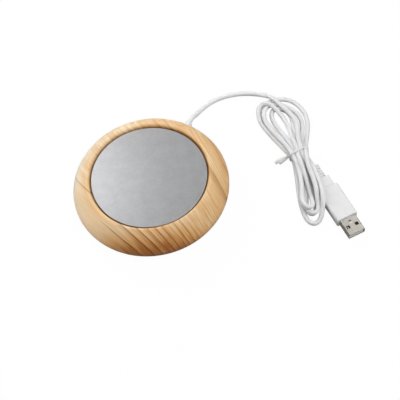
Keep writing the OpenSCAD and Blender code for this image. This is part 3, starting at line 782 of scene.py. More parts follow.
@dataclass
class CordRoute:
    """Middle line of the cord from the casing to the plug, in millimetres.

    Points along the free stretch and round each lobe of the hank were chosen. The
    strands are then let settle: where they overlap they mostly climb over each other until
    they lie a diameter apart, and they rest on the surface, on the plug and on the wire tie.
    The waist gives the bundle's left and right limit at each level. The step between points
    while they settle is in millimetres, and the last step is a share of it.
    """

    diameter: float = 3.2
    step: float = 1.5
    last_step: float = 0.6
    free: tuple[Point, ...] = (
        (32.4, 46.3, 9.0), (34.1, 48.8, 9.0), (39, 56.5, 6.8), (43.5, 61.5, 4.6), (49.5, 65.5, 2.8),
        (56.5, 68, 1.8), (64, 69.2, 1.6), (72, 69, 1.6), (79.5, 67.6, 1.8), (85, 65.6, 3.0), (90, 62, 4.6),
        (94.5, 56.5, 6.6), (98.5, 51, 7.2), (101, 46.5, 6.8), (103.5, 42.5, 6.2), (105.5, 37.5, 5.4),
        (106, 31, 5.2), (105.2, 22.5, 6.0), (104.2, 16, 7.2),
    )
    lobes: tuple[tuple[Point, ...], ...] = (
        (
            (105.5, 8, 7.8), (105.9, 0.5, 6.5), (106.2, -6, 5.6), (106.4, -13, 5), (106.3, -20, 4.8),
            (106.3, -27, 4.6), (106.4, -32.5, 3.6), (105.5, -36.8, 2.6), (102.9, -38.8, 1.7),
            (100.3, -36.8, 1.6), (99.9, -32, 1.6), (101.4, -24.5, 1.6), (102.2, -16.5, 1.6),
            (102.4, -8.5, 1.8), (103, -1.5, 2.5), (103.4, 5.5, 4),
        ),
        (
            (103.7, 12, 4.2), (103.5, 18, 3.8), (103.5, 26, 2.5), (104, 34, 1.8), (104, 40.5, 1.8),
            (103, 45.5, 1.8), (100.5, 48.3, 1.8), (97.5, 50, 1.8), (94, 51.5, 1.8), (91.3, 49, 1.8),
            (90.5, 44, 1.8), (91.5, 38.5, 1.8), (94, 32, 1.8), (97, 25.5, 1.8), (99.3, 16, 2.2),
        ),
        (
            (100.6, 10, 3.4), (100.7, 4.5, 4), (100.4, -3, 2.8), (100.2, -10.5, 1.8), (99.9, -19, 1.8),
            (99.4, -27, 1.8), (99.5, -32.5, 1.8), (100.6, -37.2, 1.8), (103.6, -39.6, 2.4),
            (106.5, -38.0, 3.6), (107.7, -34, 6.0), (108.25, -28.5, 8.6), (108.6, -22.5, 9.6),
            (108.4, -16, 9.8), (107.9, -10, 9.8), (107.15, -2.5, 9.4), (106.75, 4.5, 8.4),
        ),
        (
            (107, 11, 7.4), (106.5, 17, 6), (108, 25, 4.8), (110, 32.5, 4.8), (110, 39, 4.8),
            (108.5, 44, 4.8), (105.5, 48, 4.8), (102.5, 50.8, 4.2), (99.5, 53, 2.6), (96, 54.3, 2),
            (92.5, 55, 1.8), (88.5, 53.5, 2), (85.5, 49, 3.5), (85, 41.5, 4.8), (88, 32.5, 5),
            (92.5, 23, 5), (97.2, 13, 5.2),
        ),
        (
            (99.3, 8, 5.4), (100.4, 2, 5), (100.6, -6, 4.8), (100.2, -14, 4.8), (99.4, -21, 4.8),
            (98.4, -27.5, 4.6), (98.3, -33.0, 4.4), (101.4, -37.4, 4.2), (104.3, -33.4, 4.4),
            (104.5, -27.5, 4.6), (104.5, -23.5, 4.8), (104.3, -18.5, 5.2), (103.9, -14, 5.6),
            (103.0, -9, 6.2), (102.0, -4, 6.8), (101.6, 2, 7.4),
        ),
        (
            (102, 8.5, 7.6), (101.2, 14.5, 6.4), (101, 22.5, 3.6), (100.5, 32, 2.6), (99, 39.5, 3.5),
            (97, 45, 5.5), (94, 49, 6.8), (90.5, 52.7, 6.5), (87, 55, 4.5), (83.5, 54, 2.6),
            (81.8, 48.5, 1.8), (82.3, 41, 1.8), (86.3, 31.5, 1.8), (91, 22.5, 1.8), (96, 13, 2.1),
        ),
        (
            (97.4, 8.5, 1.8), (98.6, 3, 1.7), (98.6, -3, 1.7), (98.5, -9, 1.7), (98.2, -15, 1.7),
            (97.6, -21, 1.7), (97.2, -27.5, 1.7), (97.5, -34, 1.7), (98.6, -39.5, 1.7),
            (100.2, -43.4, 1.7), (102.8, -46.0, 1.7), (105.8, -45.0, 1.7), (108.1, -41.6, 2.6),
            (109.9, -38, 5.2), (111.3, -33, 9), (112.1, -26, 9.8), (112.0, -18.5, 9.8), (111.1, -12, 9.0),
            (109.6, -4.5, 7.4), (108.0, 3, 6.0),
        ),
        (
            (107.8, 10, 4.6), (108.6, 15, 3.4), (110.3, 20, 2.4), (112.3, 27, 1.8), (114, 34, 1.8),
            (114, 41, 1.8), (112, 47.5, 1.8), (108.5, 53.5, 1.8), (104, 57, 1.8), (99, 58.8, 1.8),
            (93.5, 58.3, 1.8), (88.5, 56, 1.8), (85, 50, 1.8), (85, 42.5, 1.8), (89, 33.5, 1.8),
            (94, 24.5, 1.8), (98.3, 14, 1.9),
        ),
    )
    inlet: tuple[Point, ...] = (
        (101, 9.3, 1.9), (104, 4.6, 2.2), (107, 0.6, 3.2), (109.1, -2.2, 3.9), (110.1, -3.8, 4.0),
    )
    waist: tuple[Point, ...] = (
        (-60, 90, 125), (-46, 96, 110), (-40, 98.4, 109.3), (-33, 97.3, 111.6), (-26, 97.0, 112.3),
        (-18, 97.6, 112.2), (-13, 98.1, 111.5), (-6, 98.6, 110.2), (3, 98.9, 108.0), (6, 98.7, 107.5),
        (9, 97.2, 107.6), (12, 95.6, 108.3), (16, 92.5, 109.0), (20, 88, 110.2), (24, 80, 112.2),
        (60, 60, 130),
    )
    hank_from: float = 90.0
    tie_at: tuple[float, float] = (102.9, 8.8)
    tie_along: tuple[float, float] = (0.33, -0.944)
    tie_room: float = 0.9
    tie_reach: float = 3.0
    tie_side: float = 10.0
    fold_radius: float = 6.5
    fold_hold: float = 3.5
    near: float = 1.8
    same_stretch: float = 2.2
    climb: float = 0.28
    push: float = 1.9
    evening: float = 0.3
    easing: float = 0.1
    least_share: float = 0.15
    pairs_kept: int = 10
    smoothings: int = 2
    stages: tuple[Settling, ...] = (
        Settling(400, 0.08, 0.03, 0.35, 0.5),
        Settling(250, 0.03, 0.01, 0.7, 0.3),
    )

    @property
    def radius(self) -> float:
        """Half the cord's diameter."""
        return self.diameter / 2

    def ground(self, place: np.ndarray, plug: "Plug") -> np.ndarray:
        """Height of what lies under each point: the surface, the plug or the wire tie."""
        along = np.abs((place[:, :2] - self.tie_at) @ np.array(self.tie_along))
        beside = np.abs(place[:, 0] - self.tie_at[0]) < self.tie_side
        bump = np.where(beside, self.tie_room * np.exp(-((along / self.tie_reach) ** 2)), 0.0)
        return np.maximum(bump, plug.top_height(place))

    def near_pairs(self, place: np.ndarray) -> tuple[np.ndarray, np.ndarray]:
        """Numbers of the points that are close in space but not along the cord."""
        apart = np.linalg.norm(place[:, None] - place[None], axis=-1)
        skipped = int(np.ceil(self.same_stretch * self.diameter / self.step))
        return np.nonzero(np.triu(apart < self.near * self.diameter, k=skipped))

    def spread(self, place: np.ndarray, pairs: tuple[np.ndarray, np.ndarray], sideways: float) -> np.ndarray:
        """Shift that moves overlapping strands apart, shared with their neighbours.

        Two strands at a distance d in plan need a difference in height of the square root of
        diameter squared minus d squared. Each gets half of what is missing, and is moved
        sideways by a share of half the overlap.

        Args:
            place: Array (n, 3) of the middle line.
            pairs: Numbers of the points that may overlap.
            sideways: Share of the overlap that is taken up in plan.

        Returns:
            Array (n, 3).
        """
        first, second = pairs
        gap = place[first] - place[second]
        apart = np.linalg.norm(gap, axis=1) + 1e-9
        overlap = np.maximum(self.diameter - apart, 0.0)
        flat = np.linalg.norm(gap[:, :2], axis=1)
        needed = np.sqrt(np.maximum(self.diameter**2 - flat**2, 0.0)) - np.abs(gap[:, 2])
        climb = np.where(gap[:, 2] >= 0, 1.0, -1.0) * np.clip(needed, 0.0, 1.0) * (overlap > 0)
        aside = gap[:, :2] / apart[:, None] * overlap[:, None] / 2 * sideways
        push = np.column_stack([aside, self.climb * climb])
        total, count = np.zeros_like(place), np.zeros(len(place))
        for end, sign in ((first, 1), (second, -1)):
            np.add.at(total, end, sign * push)
            np.add.at(count, end, overlap > 0)
        total *= self.push / np.maximum(count, 1.0)[:, None]
        padded = np.pad(total, ((1, 1), (0, 0)))
        return (padded[:-2] + 2 * padded[1:-1] + padded[2:]) / 4

    def folds(self, place: np.ndarray) -> np.ndarray:
        """Weight from 0 to 1 of each point that lies in a fold of the hank.

        The bend radius at a point is the product of the three sides of the triangle that it
        makes with its neighbours, divided by four times the triangle's area.
        """
        a, b = place[1:-1] - place[:-2], place[2:] - place[1:-1]
        area = np.linalg.norm(np.cross(a, b), axis=1) / 2
        sides = np.linalg.norm(a, axis=1) * np.linalg.norm(b, axis=1) * np.linalg.norm(a + b, axis=1)
        tight = np.pad(sides / (4 * area + 1e-9) < self.fold_radius, 1).astype(float)
        return np.convolve(tight, np.ones(5) / 5, "same")[:, None]

    def settle(self, place: np.ndarray, plug: "Plug", stage: Settling) -> np.ndarray:
        """Lets the strands come to rest.

        In each round the strands that overlap move apart, each point is drawn back in plan
        towards its chosen place, a sharp change of bend is evened out, and the cord sinks a
        little. The waist keeps the bundle within its width. Both ends stay where they are.

        Args:
            place: Array (n, 3) of the middle line.
            plug: The plug, on which some strands rest.
            stage: How they come to rest.

        Returns:
            Array (n, 3) of the settled line.
        """
        chosen, ends = place.copy(), np.zeros(len(place), dtype=bool)
        ends[:4] = ends[-4:] = True
        fold = self.folds(place)
        level, left, right = np.array(self.waist, dtype=float).T
        for turn in range(stage.rounds):
            if turn % self.pairs_kept == 0:
                pairs = self.near_pairs(place)
            share = max(self.least_share, 1 - turn / stage.rounds)
            place = place + self.spread(place, pairs, stage.sideways)
            back = stage.hold * (share * (1 - fold) + self.fold_hold * fold)
            place[:, :2] += (chosen - place)[:, :2] * back
            bow = np.zeros_like(place)
            bow[1:-1] = (place[:-2] + place[2:]) / 2 - place[1:-1]
            uneven = np.zeros_like(place)
            uneven[2:-2] = bow[2:-2] - (bow[1:-3] + bow[3:-1]) / 2
            place = place + self.evening * uneven
            place[:, 2] += self.easing * bow[:, 2] - stage.fall * share
            low, high = np.interp(place[:, 1], level, left), np.interp(place[:, 1], level, right)
            out = np.clip(low - place[:, 0], 0, None) - np.clip(place[:, 0] - high, 0, None)
            place[:, 0] += np.where(place[:, 0] > self.hank_from, out * stage.pinch, 0.0)
            place[:, 2] = np.maximum(place[:, 2], self.ground(place, plug) + self.radius)
            place[ends] = chosen[ends]
        return place

    def build(self, plug: "Plug") -> np.ndarray:
        """Works out the middle line.

        Args:
            plug: The plug, on which some strands rest.

        Returns:
            Array (n, 3) in millimetres, from the casing to the plug.
        """
        points = [*self.free, *[point for lobe in self.lobes for point in lobe], *self.inlet]
        place = np.array(points, dtype=float)
        for stage, spaced in zip(self.stages, (smooth_path, even_steps)):
            place = self.settle(spaced(place, self.step), plug, stage)
        for _ in range(self.smoothings):
            place[1:-1] = (place[:-2] + 2 * place[1:-1] + place[2:]) / 4
        return smooth_path(place, self.step * self.last_step)


@dataclass
class Cord:
    """The white cord, its sleeve at the casing and the wire tie round its hank."""

    route: CordRoute = field(default_factory=CordRoute)
    outlet: Outlet = Outlet()
    sides: int = 20
    sleeve: tuple[tuple[float, float], ...] = (
        (51.45, 1.7), (51.45, 4.35), (51.6, 4.5), (52.75, 4.5), (53.0, 4.28), (53.0, 3.25), (53.1, 3.1),
        (54.6, 2.78), (55.9, 2.52), (56.35, 2.36), (56.5, 2.1), (56.5, 1.7),
    )
    band_width: float = 1.35
    band_thickness: float = 0.75
    band_play: float = 0.05
    band_step: float = 0.6
    tail_width: float = 2.4
    tail_turns: float = 0.24
    tail_lead: float = 0.5
    tail_ribbon: float = 1.1
    tail_wire: float = 0.6
    tail_wire_width: float = 0.35
    tail_step: float = 0.35
    tail_floor: float = 0.02
    tails: tuple[tuple[Point, ...], ...] = (
        ((95.6, 9.9, 2.4), (93.6, 9.3, 2.6), (91.5, 8.6, 2.4), (88.7, 7.5, 2.0), (86.0, 6.5, 1.4)),
        ((95.4, 9.4, 1.7), (93.3, 8.2, 1.8), (91.0, 6.9, 1.6), (88.9, 5.6, 1.3)),
    )
    knot_ends: tuple[Point, Point] = ((98.2, 10.4, 2.4), (94.6, 9.2, 2.0))
    knot_turns: float = 2.2
    knot_radius: float = 0.75
    knot_wire: float = 0.5

    def tube(self, path: np.ndarray) -> bpy.types.Object:
        """The cord itself: a circle of its radius carried along the middle line."""
        return make_piece("cord", swept_rings(path, UP, *(self.route.radius * circle(self.sides))))

    def relief(self) -> bpy.types.Object:
        """Sleeve at the casing: a profile of places and radii turned about the outlet's axis."""
        rings = self.outlet.circles(*np.array(self.sleeve).T, 48)
        return make_piece("outlet_sleeve", rings, 28.0, grid_quads(*rings.shape[:2]))

    def band(self, path: np.ndarray) -> bpy.types.Object:
        """Wire tie round the bundle.

        It follows the tightest line round the strands that cross the tie's plane: in each
        direction its point is that of the strand which reaches furthest, moved out by the
        cord's radius and half the band.

        Args:
            path: The cord's middle line.

        Returns:
            The band as a closed flat ribbon.
        """
        normal = np.array([*self.route.tie_along, 0.0])
        side = np.cross(UP, normal)
        centre = np.array([*self.route.tie_at, 0.0])
        off = (path - centre) @ normal
        near = np.abs(path[:, 0] - centre[0]) < 4 * self.route.tie_reach
        cross = np.nonzero((off[:-1] * off[1:] <= 0) & near[:-1])[0]
        share = off[cross] / (off[cross] - off[cross + 1])
        strands = path[cross] + share[:, None] * (path[cross + 1] - path[cross])
        flat = np.stack([(strands - centre) @ side, strands[:, 2]], axis=1)
        ray = circle(120).T
        furthest = flat[np.argmax(ray @ flat.T, axis=1)]
        line = furthest + ray * (self.route.radius + self.band_thickness / 2 + self.band_play)
        loop = centre + line[:, :1] * side + line[:, 1:] * UP
        loop = even_steps(np.vstack([loop, loop[:1]]), self.band_step)[:-1]
        before, after = np.roll(loop, 1, axis=0), np.roll(loop, -1, axis=0)
        loop = (before + loop + after) / 3
        along = unit(np.roll(loop, -1, axis=0) - np.roll(loop, 1, axis=0))
        out = np.cross(along, normal)[:, None]
        across, above = circle(12)[..., None] / 2
        rings = loop[:, None] + self.band_width * across * normal + self.band_thickness * above * out
        return make_piece("tie_band", rings, 60.0, grid_quads(*rings.shape[:2], closed=True))

    def tail(self, number: int, points: tuple[Point, ...]) -> bpy.types.Object:
        """One twisted tail of the tie.

        Its section is a flat ribbon with a thicker middle, where the wire runs, and it turns
        evenly about the tail's own line.

        Args:
            number: Number of the tail.
            points: Points that its middle line passes through.

        Returns:
            The tail.
        """
        path = smooth_path(np.array(points, dtype=float), self.tail_step)
        cosine, sine = circle(16)
        share = np.linspace(0.0, 1.0, len(path))[:, None]
        twist = (2 * share - 1) * np.pi * self.tail_turns + self.tail_lead * number
        width = (self.band_width + (self.tail_width - self.band_width) * np.minimum(share * 2, 1.0)) / 2
        wire = self.tail_wire * np.exp(-((cosine / self.tail_wire_width) ** 2))
        across, above = width * cosine, self.band_thickness / 2 * (self.tail_ribbon + wire) * sine
        turned = (
            across * np.cos(twist) - above * np.sin(twist),
            across * np.sin(twist) + above * np.cos(twist),
        )
        rings = swept_rings(path, UP, *turned)
        rings[..., 2] = np.maximum(rings[..., 2], self.tail_floor)
        return make_piece(f"tie_tail_{number + 1}", rings, 60.0)

    def knot(self) -> bpy.types.Object:
        """Two close turns where the tie's ends are twisted together, as one helix."""
        start, end = np.array(self.knot_ends)
        axis = unit(end - start)
        side = np.cross(axis, UP)
        t = np.linspace(0.0, 1.0, 40)[:, None]
        phase = 2 * np.pi * self.knot_turns * t
        coil = np.cos(phase) * side + np.sin(phase) * np.cross(side, axis)
        path = start + t * (end - start) + self.knot_radius * coil
        return make_piece("tie_knot", swept_rings(path, axis + 0.01, *(self.knot_wire * circle(10))), 60.0)


@dataclass(frozen=True)
class Block:
    """One stretch of the plug's moulding, in the plug's own millimetres."""

    start: float
    end: float
    width: float
    thickness: float
    corner: float
    round_start: float
    round_end: float


@dataclass
class Plug:
    """Flat plug: soft moulding, steel shell, insulator and contacts.

    Its own s runs towards the shell's mouth, and is 0 where the shell leaves the moulding.
    """

    place: Point = (124.5, -47.5, 4.0)
    turn: float = -71.8
    body: Block = Block(-26.5, 0.0, 15.0, 8.0, 1.5, 0.9, 0.7)
    neck: Block = Block(-35.0, -26.5, 11.2, 6.8, 1.8, 0.8, 0.05)
    relief: Block = Block(-46.0, -35.0, 8.0, 5.6, 1.6, 0.3, 0.3)
    crown: float = 0.22
    ribs: int = 5
    rib_share: float = 0.6
    rib_foot: float = 0.06
    groove: float = 0.7
    groove_corner: float = 1.1
    shell_width: float = 12.0
    shell_height: float = 4.5
    shell_corner: float = 0.8
    pocket_depth: float = 6.0
    bore_depth: float = 8.0
    bore_radius: float = 1.7
    play: float = 0.02
    least_corner: float = 0.3
    corner_points: int = 7
    face_points: int = 5
    dimple_at: tuple[float, float] = (2.8, 0.4)
    dimple_rim: tuple[tuple[float, float], ...] = (
        (1.35, 0.0), (1.2, 0.05), (0.95, 0.075), (0.75, 0.05), (0.62, -0.02)
    )
    # Profile of the black disc in the dimple's hollow, which is painted shade.
    dimple_floor: tuple[tuple[float, float], ...] = ((0.66, 0.012), (0.66, -0.05))

    def at(self, s: Numbers, across: Numbers, above: Numbers) -> np.ndarray:
        """Places in the model.

        Args:
            s: Places along the plug.
            across: Places to its left, in an array of a shape that goes with that of s.
            above: Heights over the plug's middle, likewise.

        Returns:
            Array (..., 3).
        """
        forward = heading(self.turn)
        s, across, above = (np.asarray(value, dtype=float)[..., None] for value in (s, across, above))
        return np.array(self.place) + s * forward + across * np.cross(UP, forward) + above * UP

    def top_height(self, place: np.ndarray) -> np.ndarray:
        """Height of the plug's top under each point, or 0 beside it.

        Each part holds a strand up over its own stretch, and a margin beyond its sides.

        Args:
            place: Array (n, 3) of points.

        Returns:
            Array (n) of heights.
        """
        forward = heading(self.turn)
        off = place[:, :2] - np.array(self.place[:2])
        s = off @ forward[:2]
        t = np.abs(off @ np.cross(UP, forward)[:2])
        shoulder = self.body.start - 1.0
        parts = (
            (self.body, shoulder, 1.0, 0.6),
            (self.neck, self.neck.start, shoulder, 0.6),
            (self.relief, self.relief.start, self.relief.end, 0.2),
        )
        inside = [
            (s > start) & (s <= end) & (t < block.width / 2 + margin) for block, start, end, margin in parts
        ]
        return np.select(inside, [self.place[2] + block.thickness / 2 for block, *_ in parts], 0.0)

    def block_rows(self, block: Block) -> np.ndarray:
        """Rows of s, half width, half thickness and corner for one block.

        At each end the section draws in along a quarter circle: at an angle from 0 to a
        right angle, s goes in by r times one minus its cosine, and the section by r times
        one minus its sine.

        Args:
            block: The block.

        Returns:
            Array (rows, 4).
        """
        angle = np.linspace(0.0, np.pi / 2, 6)
        along, inward = 1 - np.cos(angle), 1 - np.sin(angle)
        first, last = block.start + block.round_start * along, block.end - block.round_end * along
        s = np.concatenate([first, last[::-1]])
        inset = np.concatenate([block.round_start * inward, (block.round_end * inward)[::-1]])
        corner = np.maximum(block.corner - inset / 2, self.least_corner)
        return np.stack([s, block.width / 2 - inset, block.thickness / 2 - inset, corner], axis=1)

    def section_rings(self, rows: np.ndarray) -> np.ndarray:
        """Rings of rounded rectangles, one for each row.

        Each corner is a quarter circle about a point that lies a corner radius inside both
        faces. The body's broad faces fall away from their middle by crown times the square
        of the share of the half width.

        Args:
            rows: Array (n, 4) of s, half width, half thickness and corner radius.

        Returns:
            Array (n, sides, 3) in the model's millimetres.
        """
        quarter = np.linspace(0.0, np.pi / 2, self.corner_points)
        angle = np.concatenate([quarter + k * np.pi / 2 for k in range(4)])
        sign_x = np.repeat([1, -1, -1, 1], self.corner_points)
        sign_z = np.repeat([1, 1, -1, -1], self.corner_points)
        s, half_w, half_t, corner = rows.T[:, :, None]
        corner = np.minimum(corner, np.minimum(half_w, half_t))
        x = self.with_faces(sign_x * (half_w - corner) + corner * np.cos(angle))
        z = self.with_faces(sign_z * (half_t - corner) + corner * np.sin(angle))
        fall = self.crown * (x / half_w) ** 2 * np.clip(np.abs(z) / half_t, 0.0, 1.0)
        on_body = half_t > self.body.thickness / 2 - 0.1
        return self.at(s, x, z - np.sign(z) * np.where(on_body, fall, 0.0))

    def with_faces(self, corners: np.ndarray) -> np.ndarray:
        """Adds evenly spaced points along the two broad faces, between their corners.

        Args:
            corners: Array (n, 4 * corner_points) of one coordinate of the corners' points.

        Returns:
            The same with face_points more after the first and after the third corner.
        """
        share = np.linspace(0.0, 1.0, self.face_points + 2)[1:-1]
        first, second, third, fourth = np.split(corners, 4, axis=1)
        top = first[:, -1:] * (1 - share) + second[:, :1] * share
        bottom = third[:, -1:] * (1 - share) + fourth[:, :1] * share
        return np.concatenate([first, top, second, third, bottom, fourth], axis=1)

    def moulding(self) -> bpy.types.Object:
        """Soft moulding: bore for the cord, ribs, neck, body and the pocket of the shell."""
        start, pitch = self.relief.start, (self.relief.end - self.relief.start) / self.ribs
        bore = [self.bore_radius + self.play] * 3
        core = [half - self.groove for half in (self.relief.width / 2, self.relief.thickness / 2)]
        core.append(self.groove_corner)
        pocket = [self.shell_width / 2 + self.play, self.shell_height / 2 + self.play, self.shell_corner]
        rows = [[[start + self.bore_depth, *bore], [start, *bore]]]
        for rib in start + pitch * np.arange(self.ribs):
            end = rib + pitch * self.rib_share
            rows.append(self.block_rows(replace(self.relief, start=rib, end=end)))
            rows.append([[end + pitch * self.rib_foot, *core], [rib + pitch * (1 - self.rib_foot), *core]])
        rows += [self.block_rows(self.neck), self.block_rows(self.body)]
        rows.append([[0.0, *pocket], [-self.pocket_depth, *pocket]])
        return make_piece("plug_moulding", self.section_rings(np.vstack(rows)), 34.0)

    def strip(
        self, name: str, s: tuple[float, float], across: tuple[float, float], above: tuple[float, float]
    ) -> bpy.types.Object:
        """Thin level strip inside the shell.

        Args:
            name: Name of the piece.
            s: First and last place along the plug.
            across: Places of its sides across the plug.
            above: Heights of its lower and its upper face, from the plug's middle.

        Returns:
            The strip.
        """
        right, left = across
        low, high = above
        rings = self.at(np.array(s)[:, None], [left, right, right, left], [high, high, low, low])
        return make_piece(name, rings, 30.0)

    def dimple(self, name: str, profile: tuple[tuple[float, float], ...], segments: int) -> bpy.types.Object:
        """Turned piece of the small pressed dimple in the shell's upper face.

        Args:
            name: Name of the piece.
            profile: Radii, and heights over the shell's face, from the outside in or down.
            segments: Number of its sides.

        Returns:
            The piece.
        """
        radii, heights = np.array(profile).T
        rings = lathe_rings(radii, heights + self.shell_height / 2, segments)[::-1]
        return make_piece(name, rings + self.at(*self.dimple_at, 0.0), 50.0)


@dataclass
class Casing:
    """Turned wooden ring, as a fine turned surface with the flat seat of the cord outlet."""

    radius: float = 53.0
    height: float = 23.5
    gap: float = 1.5
    edge: float = 8.0
    crown_start: float = 20.0
    lip: float = 1.8
    recess: float = 40.0
    cavity: float = 36.0
    ledge: float = 19.3
    cover: float = 42.2
    cover_top: float = 3.5
    seat: float = 51.4
    seat_radius: float = 4.55
    outlet: Outlet = Outlet()
    segments: int = 320
    sharp_angle: float = 32.0

    def profile(self) -> np.ndarray:
        """Profile of radii and heights, from the cavity's foot round the outside and back.

        The side and the crown are arcs that meet in one tangent, and the crown's arc touches
        the lip's: its radius follows from the lip's centre and the end of the side's arc.
        """
        def arc(centre: np.ndarray, radius: float, start: float, end: float, steps: int) -> np.ndarray:
            """Points of an arc between two angles in radians."""
            angle = np.linspace(start, end, steps)
            return centre + radius * np.stack([np.cos(angle), np.sin(angle)], axis=1)

        start = math.radians(self.crown_start)
        ray = np.array([math.cos(start), math.sin(start)])
        side = np.array([self.radius - self.edge, self.gap + self.edge])
        end = side + self.edge * ray
        lip = np.array([self.recess + self.lip, self.height - self.lip])
        reach = lip - end
        crown = (self.lip**2 - reach @ reach) / (2 * (reach @ ray + self.lip))
        centre = end - crown * ray
        top = math.atan2(lip[1] - centre[1], lip[0] - centre[0])
        return np.vstack([
            [[self.cavity, self.cover_top], [self.cover, self.cover_top], [self.cover, self.gap]],
            arc(side, self.edge, -math.pi / 2, start, 18),
            arc(centre, crown, start, top, 30)[1:],
            arc(lip, self.lip, top, math.pi, 12)[1:],
            [[self.recess, self.ledge], [self.cavity, self.ledge]],
        ])

    def ring(self) -> bpy.types.Object:
        """The ring with its outlet seat: a turned surface, cut by a cylinder."""
        rings = lathe_rings(*self.profile().T, self.segments)
        quads = grid_quads(*rings.shape[:2], closed=True)
        piece = make_piece("casing_ring", rings, self.sharp_angle, quads)
        cutter = self.cutter()
        cut = piece.modifiers.new("Outlet seat", "BOOLEAN")
        cut.operation, cut.solver, cut.object = "DIFFERENCE", "EXACT", cutter
        bpy.context.view_layer.update()
        mesh = bpy.data.meshes.new_from_object(piece.evaluated_get(bpy.context.evaluated_depsgraph_get()))
        piece.modifiers.clear()
        piece.data = mesh
        mesh.name = piece.name
        mesh.set_sharp_from_angle(angle=math.radians(self.sharp_angle))
        bpy.data.objects.remove(cutter)
        return piece

    def cutter(self) -> bpy.types.Object:
        """Cylinder along the outlet's axis that cuts the seat, and is deleted afterwards."""
        places = [self.radius + self.seat_radius, self.seat]
        return make_piece("seat_cutter", self.outlet.circles(places, [self.seat_radius] * 2, 64))


# ----------------------------------------------------------------------- the studio


@dataclass(frozen=True)
class SoftLight:
    """Round soft light on a dome: its bearing and height in degrees, reach and width in millimetres.

    A light that isn't mirrored only brightens: it makes no highlight on the metal.
    """

    name: str
    azimuth: float
    elevation: float
    power: float
    reach: float = 620.0
    width: float = 300.0
    mirrored: bool = True

    def hang(self, aim: Vector) -> None:
        """Hangs the light, turned towards the object and unseen by the camera itself."""
        data = bpy.data.lights.new(self.name, "AREA")
        data.shape, data.size, data.energy = "DISK", self.width * MM, self.power
        light = bpy.data.objects.new(self.name, data)
        rise = math.radians(self.elevation)
        off = Vector(self.reach * (math.cos(rise) * heading(self.azimuth) + math.sin(rise) * UP))
        turn = (-off).to_track_quat("-Z", "Y").to_matrix().to_4x4()
        light.matrix_world = Matrix.Translation((aim + off) * MM) @ turn
        light.visible_camera = False
        light.visible_glossy = self.mirrored
        bpy.context.scene.collection.objects.link(light)


@dataclass
class Studio:
    """Camera, floor and soft light."""

    target: Point = (31.0, -11.8, 0.0)
    pitch: float = 58.9
    roll: float = 9.5
    distance: float = 746.0
    focal_share: float = 2.75
    sensor: float = 36.0
    clip: tuple[float, float] = (0.01, 20.0)
    aim: Point = (30.0, 0.0, 5.0)
    lights: tuple[SoftLight, ...] = (
        SoftLight("Top right", 330.0, 68.0, 1.00),
        SoftLight("Near top left", 131.0, 51.0, 0.106, 330.0, 160.0),
        SoftLight("Front", 270.0, 45.0, 0.58),
        SoftLight("Front left", 229.0, 31.0, 0.10),
        SoftLight("Back right", 45.0, 45.0, 0.38),
        SoftLight("Back", 90.0, 45.0, 0.11),
        SoftLight("Top back right", 30.0, 68.0, 0.08),
        SoftLight("Above the plug", 54.0, 60.8, 0.03, 598.0, 150.0),
        SoftLight("Right", 335.0, 52.0, 0.60, mirrored=False),
        SoftLight("Low back left", 135.0, 20.0, 0.90, mirrored=False),
        SoftLight("Low front right", 315.0, 20.0, 0.62, mirrored=False),
        SoftLight("Low right", 0.0, 20.0, 0.60, mirrored=False),
        SoftLight("Near back", 90.0, 30.0, 0.22, 330.0, 160.0, mirrored=False),
        SoftLight("Near back left", 125.0, 30.0, 0.34, 330.0, 160.0, mirrored=False),
        SoftLight("Near left", 198.0, 21.0, 0.09, 218.0, 120.0, mirrored=False),
    )
    floor_half: float = 3000.0
    floor_drop: float = 0.02
    floor_seen: float = 0.94
    floor_white: float = 1.04
    floor_grey: float = 0.32
    background: float = 1.05
    surroundings: float = 0.03

    def camera(self) -> None:
        """Camera that looks down at the target from a distance, rolled about its own axis."""
        data = bpy.data.cameras.new("Camera")
        data.sensor_width, data.lens = self.sensor, self.sensor * self.focal_share
        data.clip_start, data.clip_end = self.clip
        camera = bpy.data.objects.new("Camera", data)
        camera.matrix_world = (
            Matrix.Translation(Vector(self.target) * MM)
            @ Matrix.Rotation(math.radians(90.0 - self.pitch), 4, "X")
            @ Matrix.Translation((0.0, 0.0, self.distance * MM))
            @ Matrix.Rotation(math.radians(-self.roll), 4, "Z")
        )
        bpy.context.scene.collection.objects.link(camera)
        bpy.context.scene.camera = camera

    def floor(self) -> None:
        """Plain white floor just under the feet, which throws back part of the light."""
        corners = self.floor_half * np.array([[-1, -1, 0], [1, -1, 0], [1, 1, 0], [-1, 1, 0]])
        floor = make_piece("floor", corners - self.floor_drop * UP, faces=[[0, 1, 2, 3]])
        paint = Paint("Pale floor")
        paint.set(Base_Color=(self.floor_grey,) * 3, Roughness=1.0, Specular_IOR_Level=0.0)
        seen = paint.add("ShaderNodeEmission", (1.0, 1.0, 1.0), self.floor_white)
        paint.shade_apart(paint.output, paint.shader, seen, self.floor_seen)
        floor.data.materials.append(paint.material)

    def world(self) -> None:
        """Plain surroundings: white behind the object, and a little even light."""
        world = bpy.data.worlds.new("Studio")
        bpy.context.scene.world = world
        world.use_nodes = True
        sheet = NodeSheet(world.node_tree)
        strengths = (self.surroundings, self.background)
        lights = [sheet.add("ShaderNodeBackground", (1.0, 1.0, 1.0), strength) for strength in strengths]
        sheet.shade_apart(sheet.add("ShaderNodeOutputWorld"), *lights)

    def build(self) -> None:
        """Sets up the camera, the floor, the surroundings and the lights."""
        self.camera()
        self.floor()
        self.world()
        for light in self.lights:
            light.hang(Vector(self.aim))
        bpy.context.scene.view_settings.view_transform = "Standard"


# ------------------------------------------------------------------------- dressing


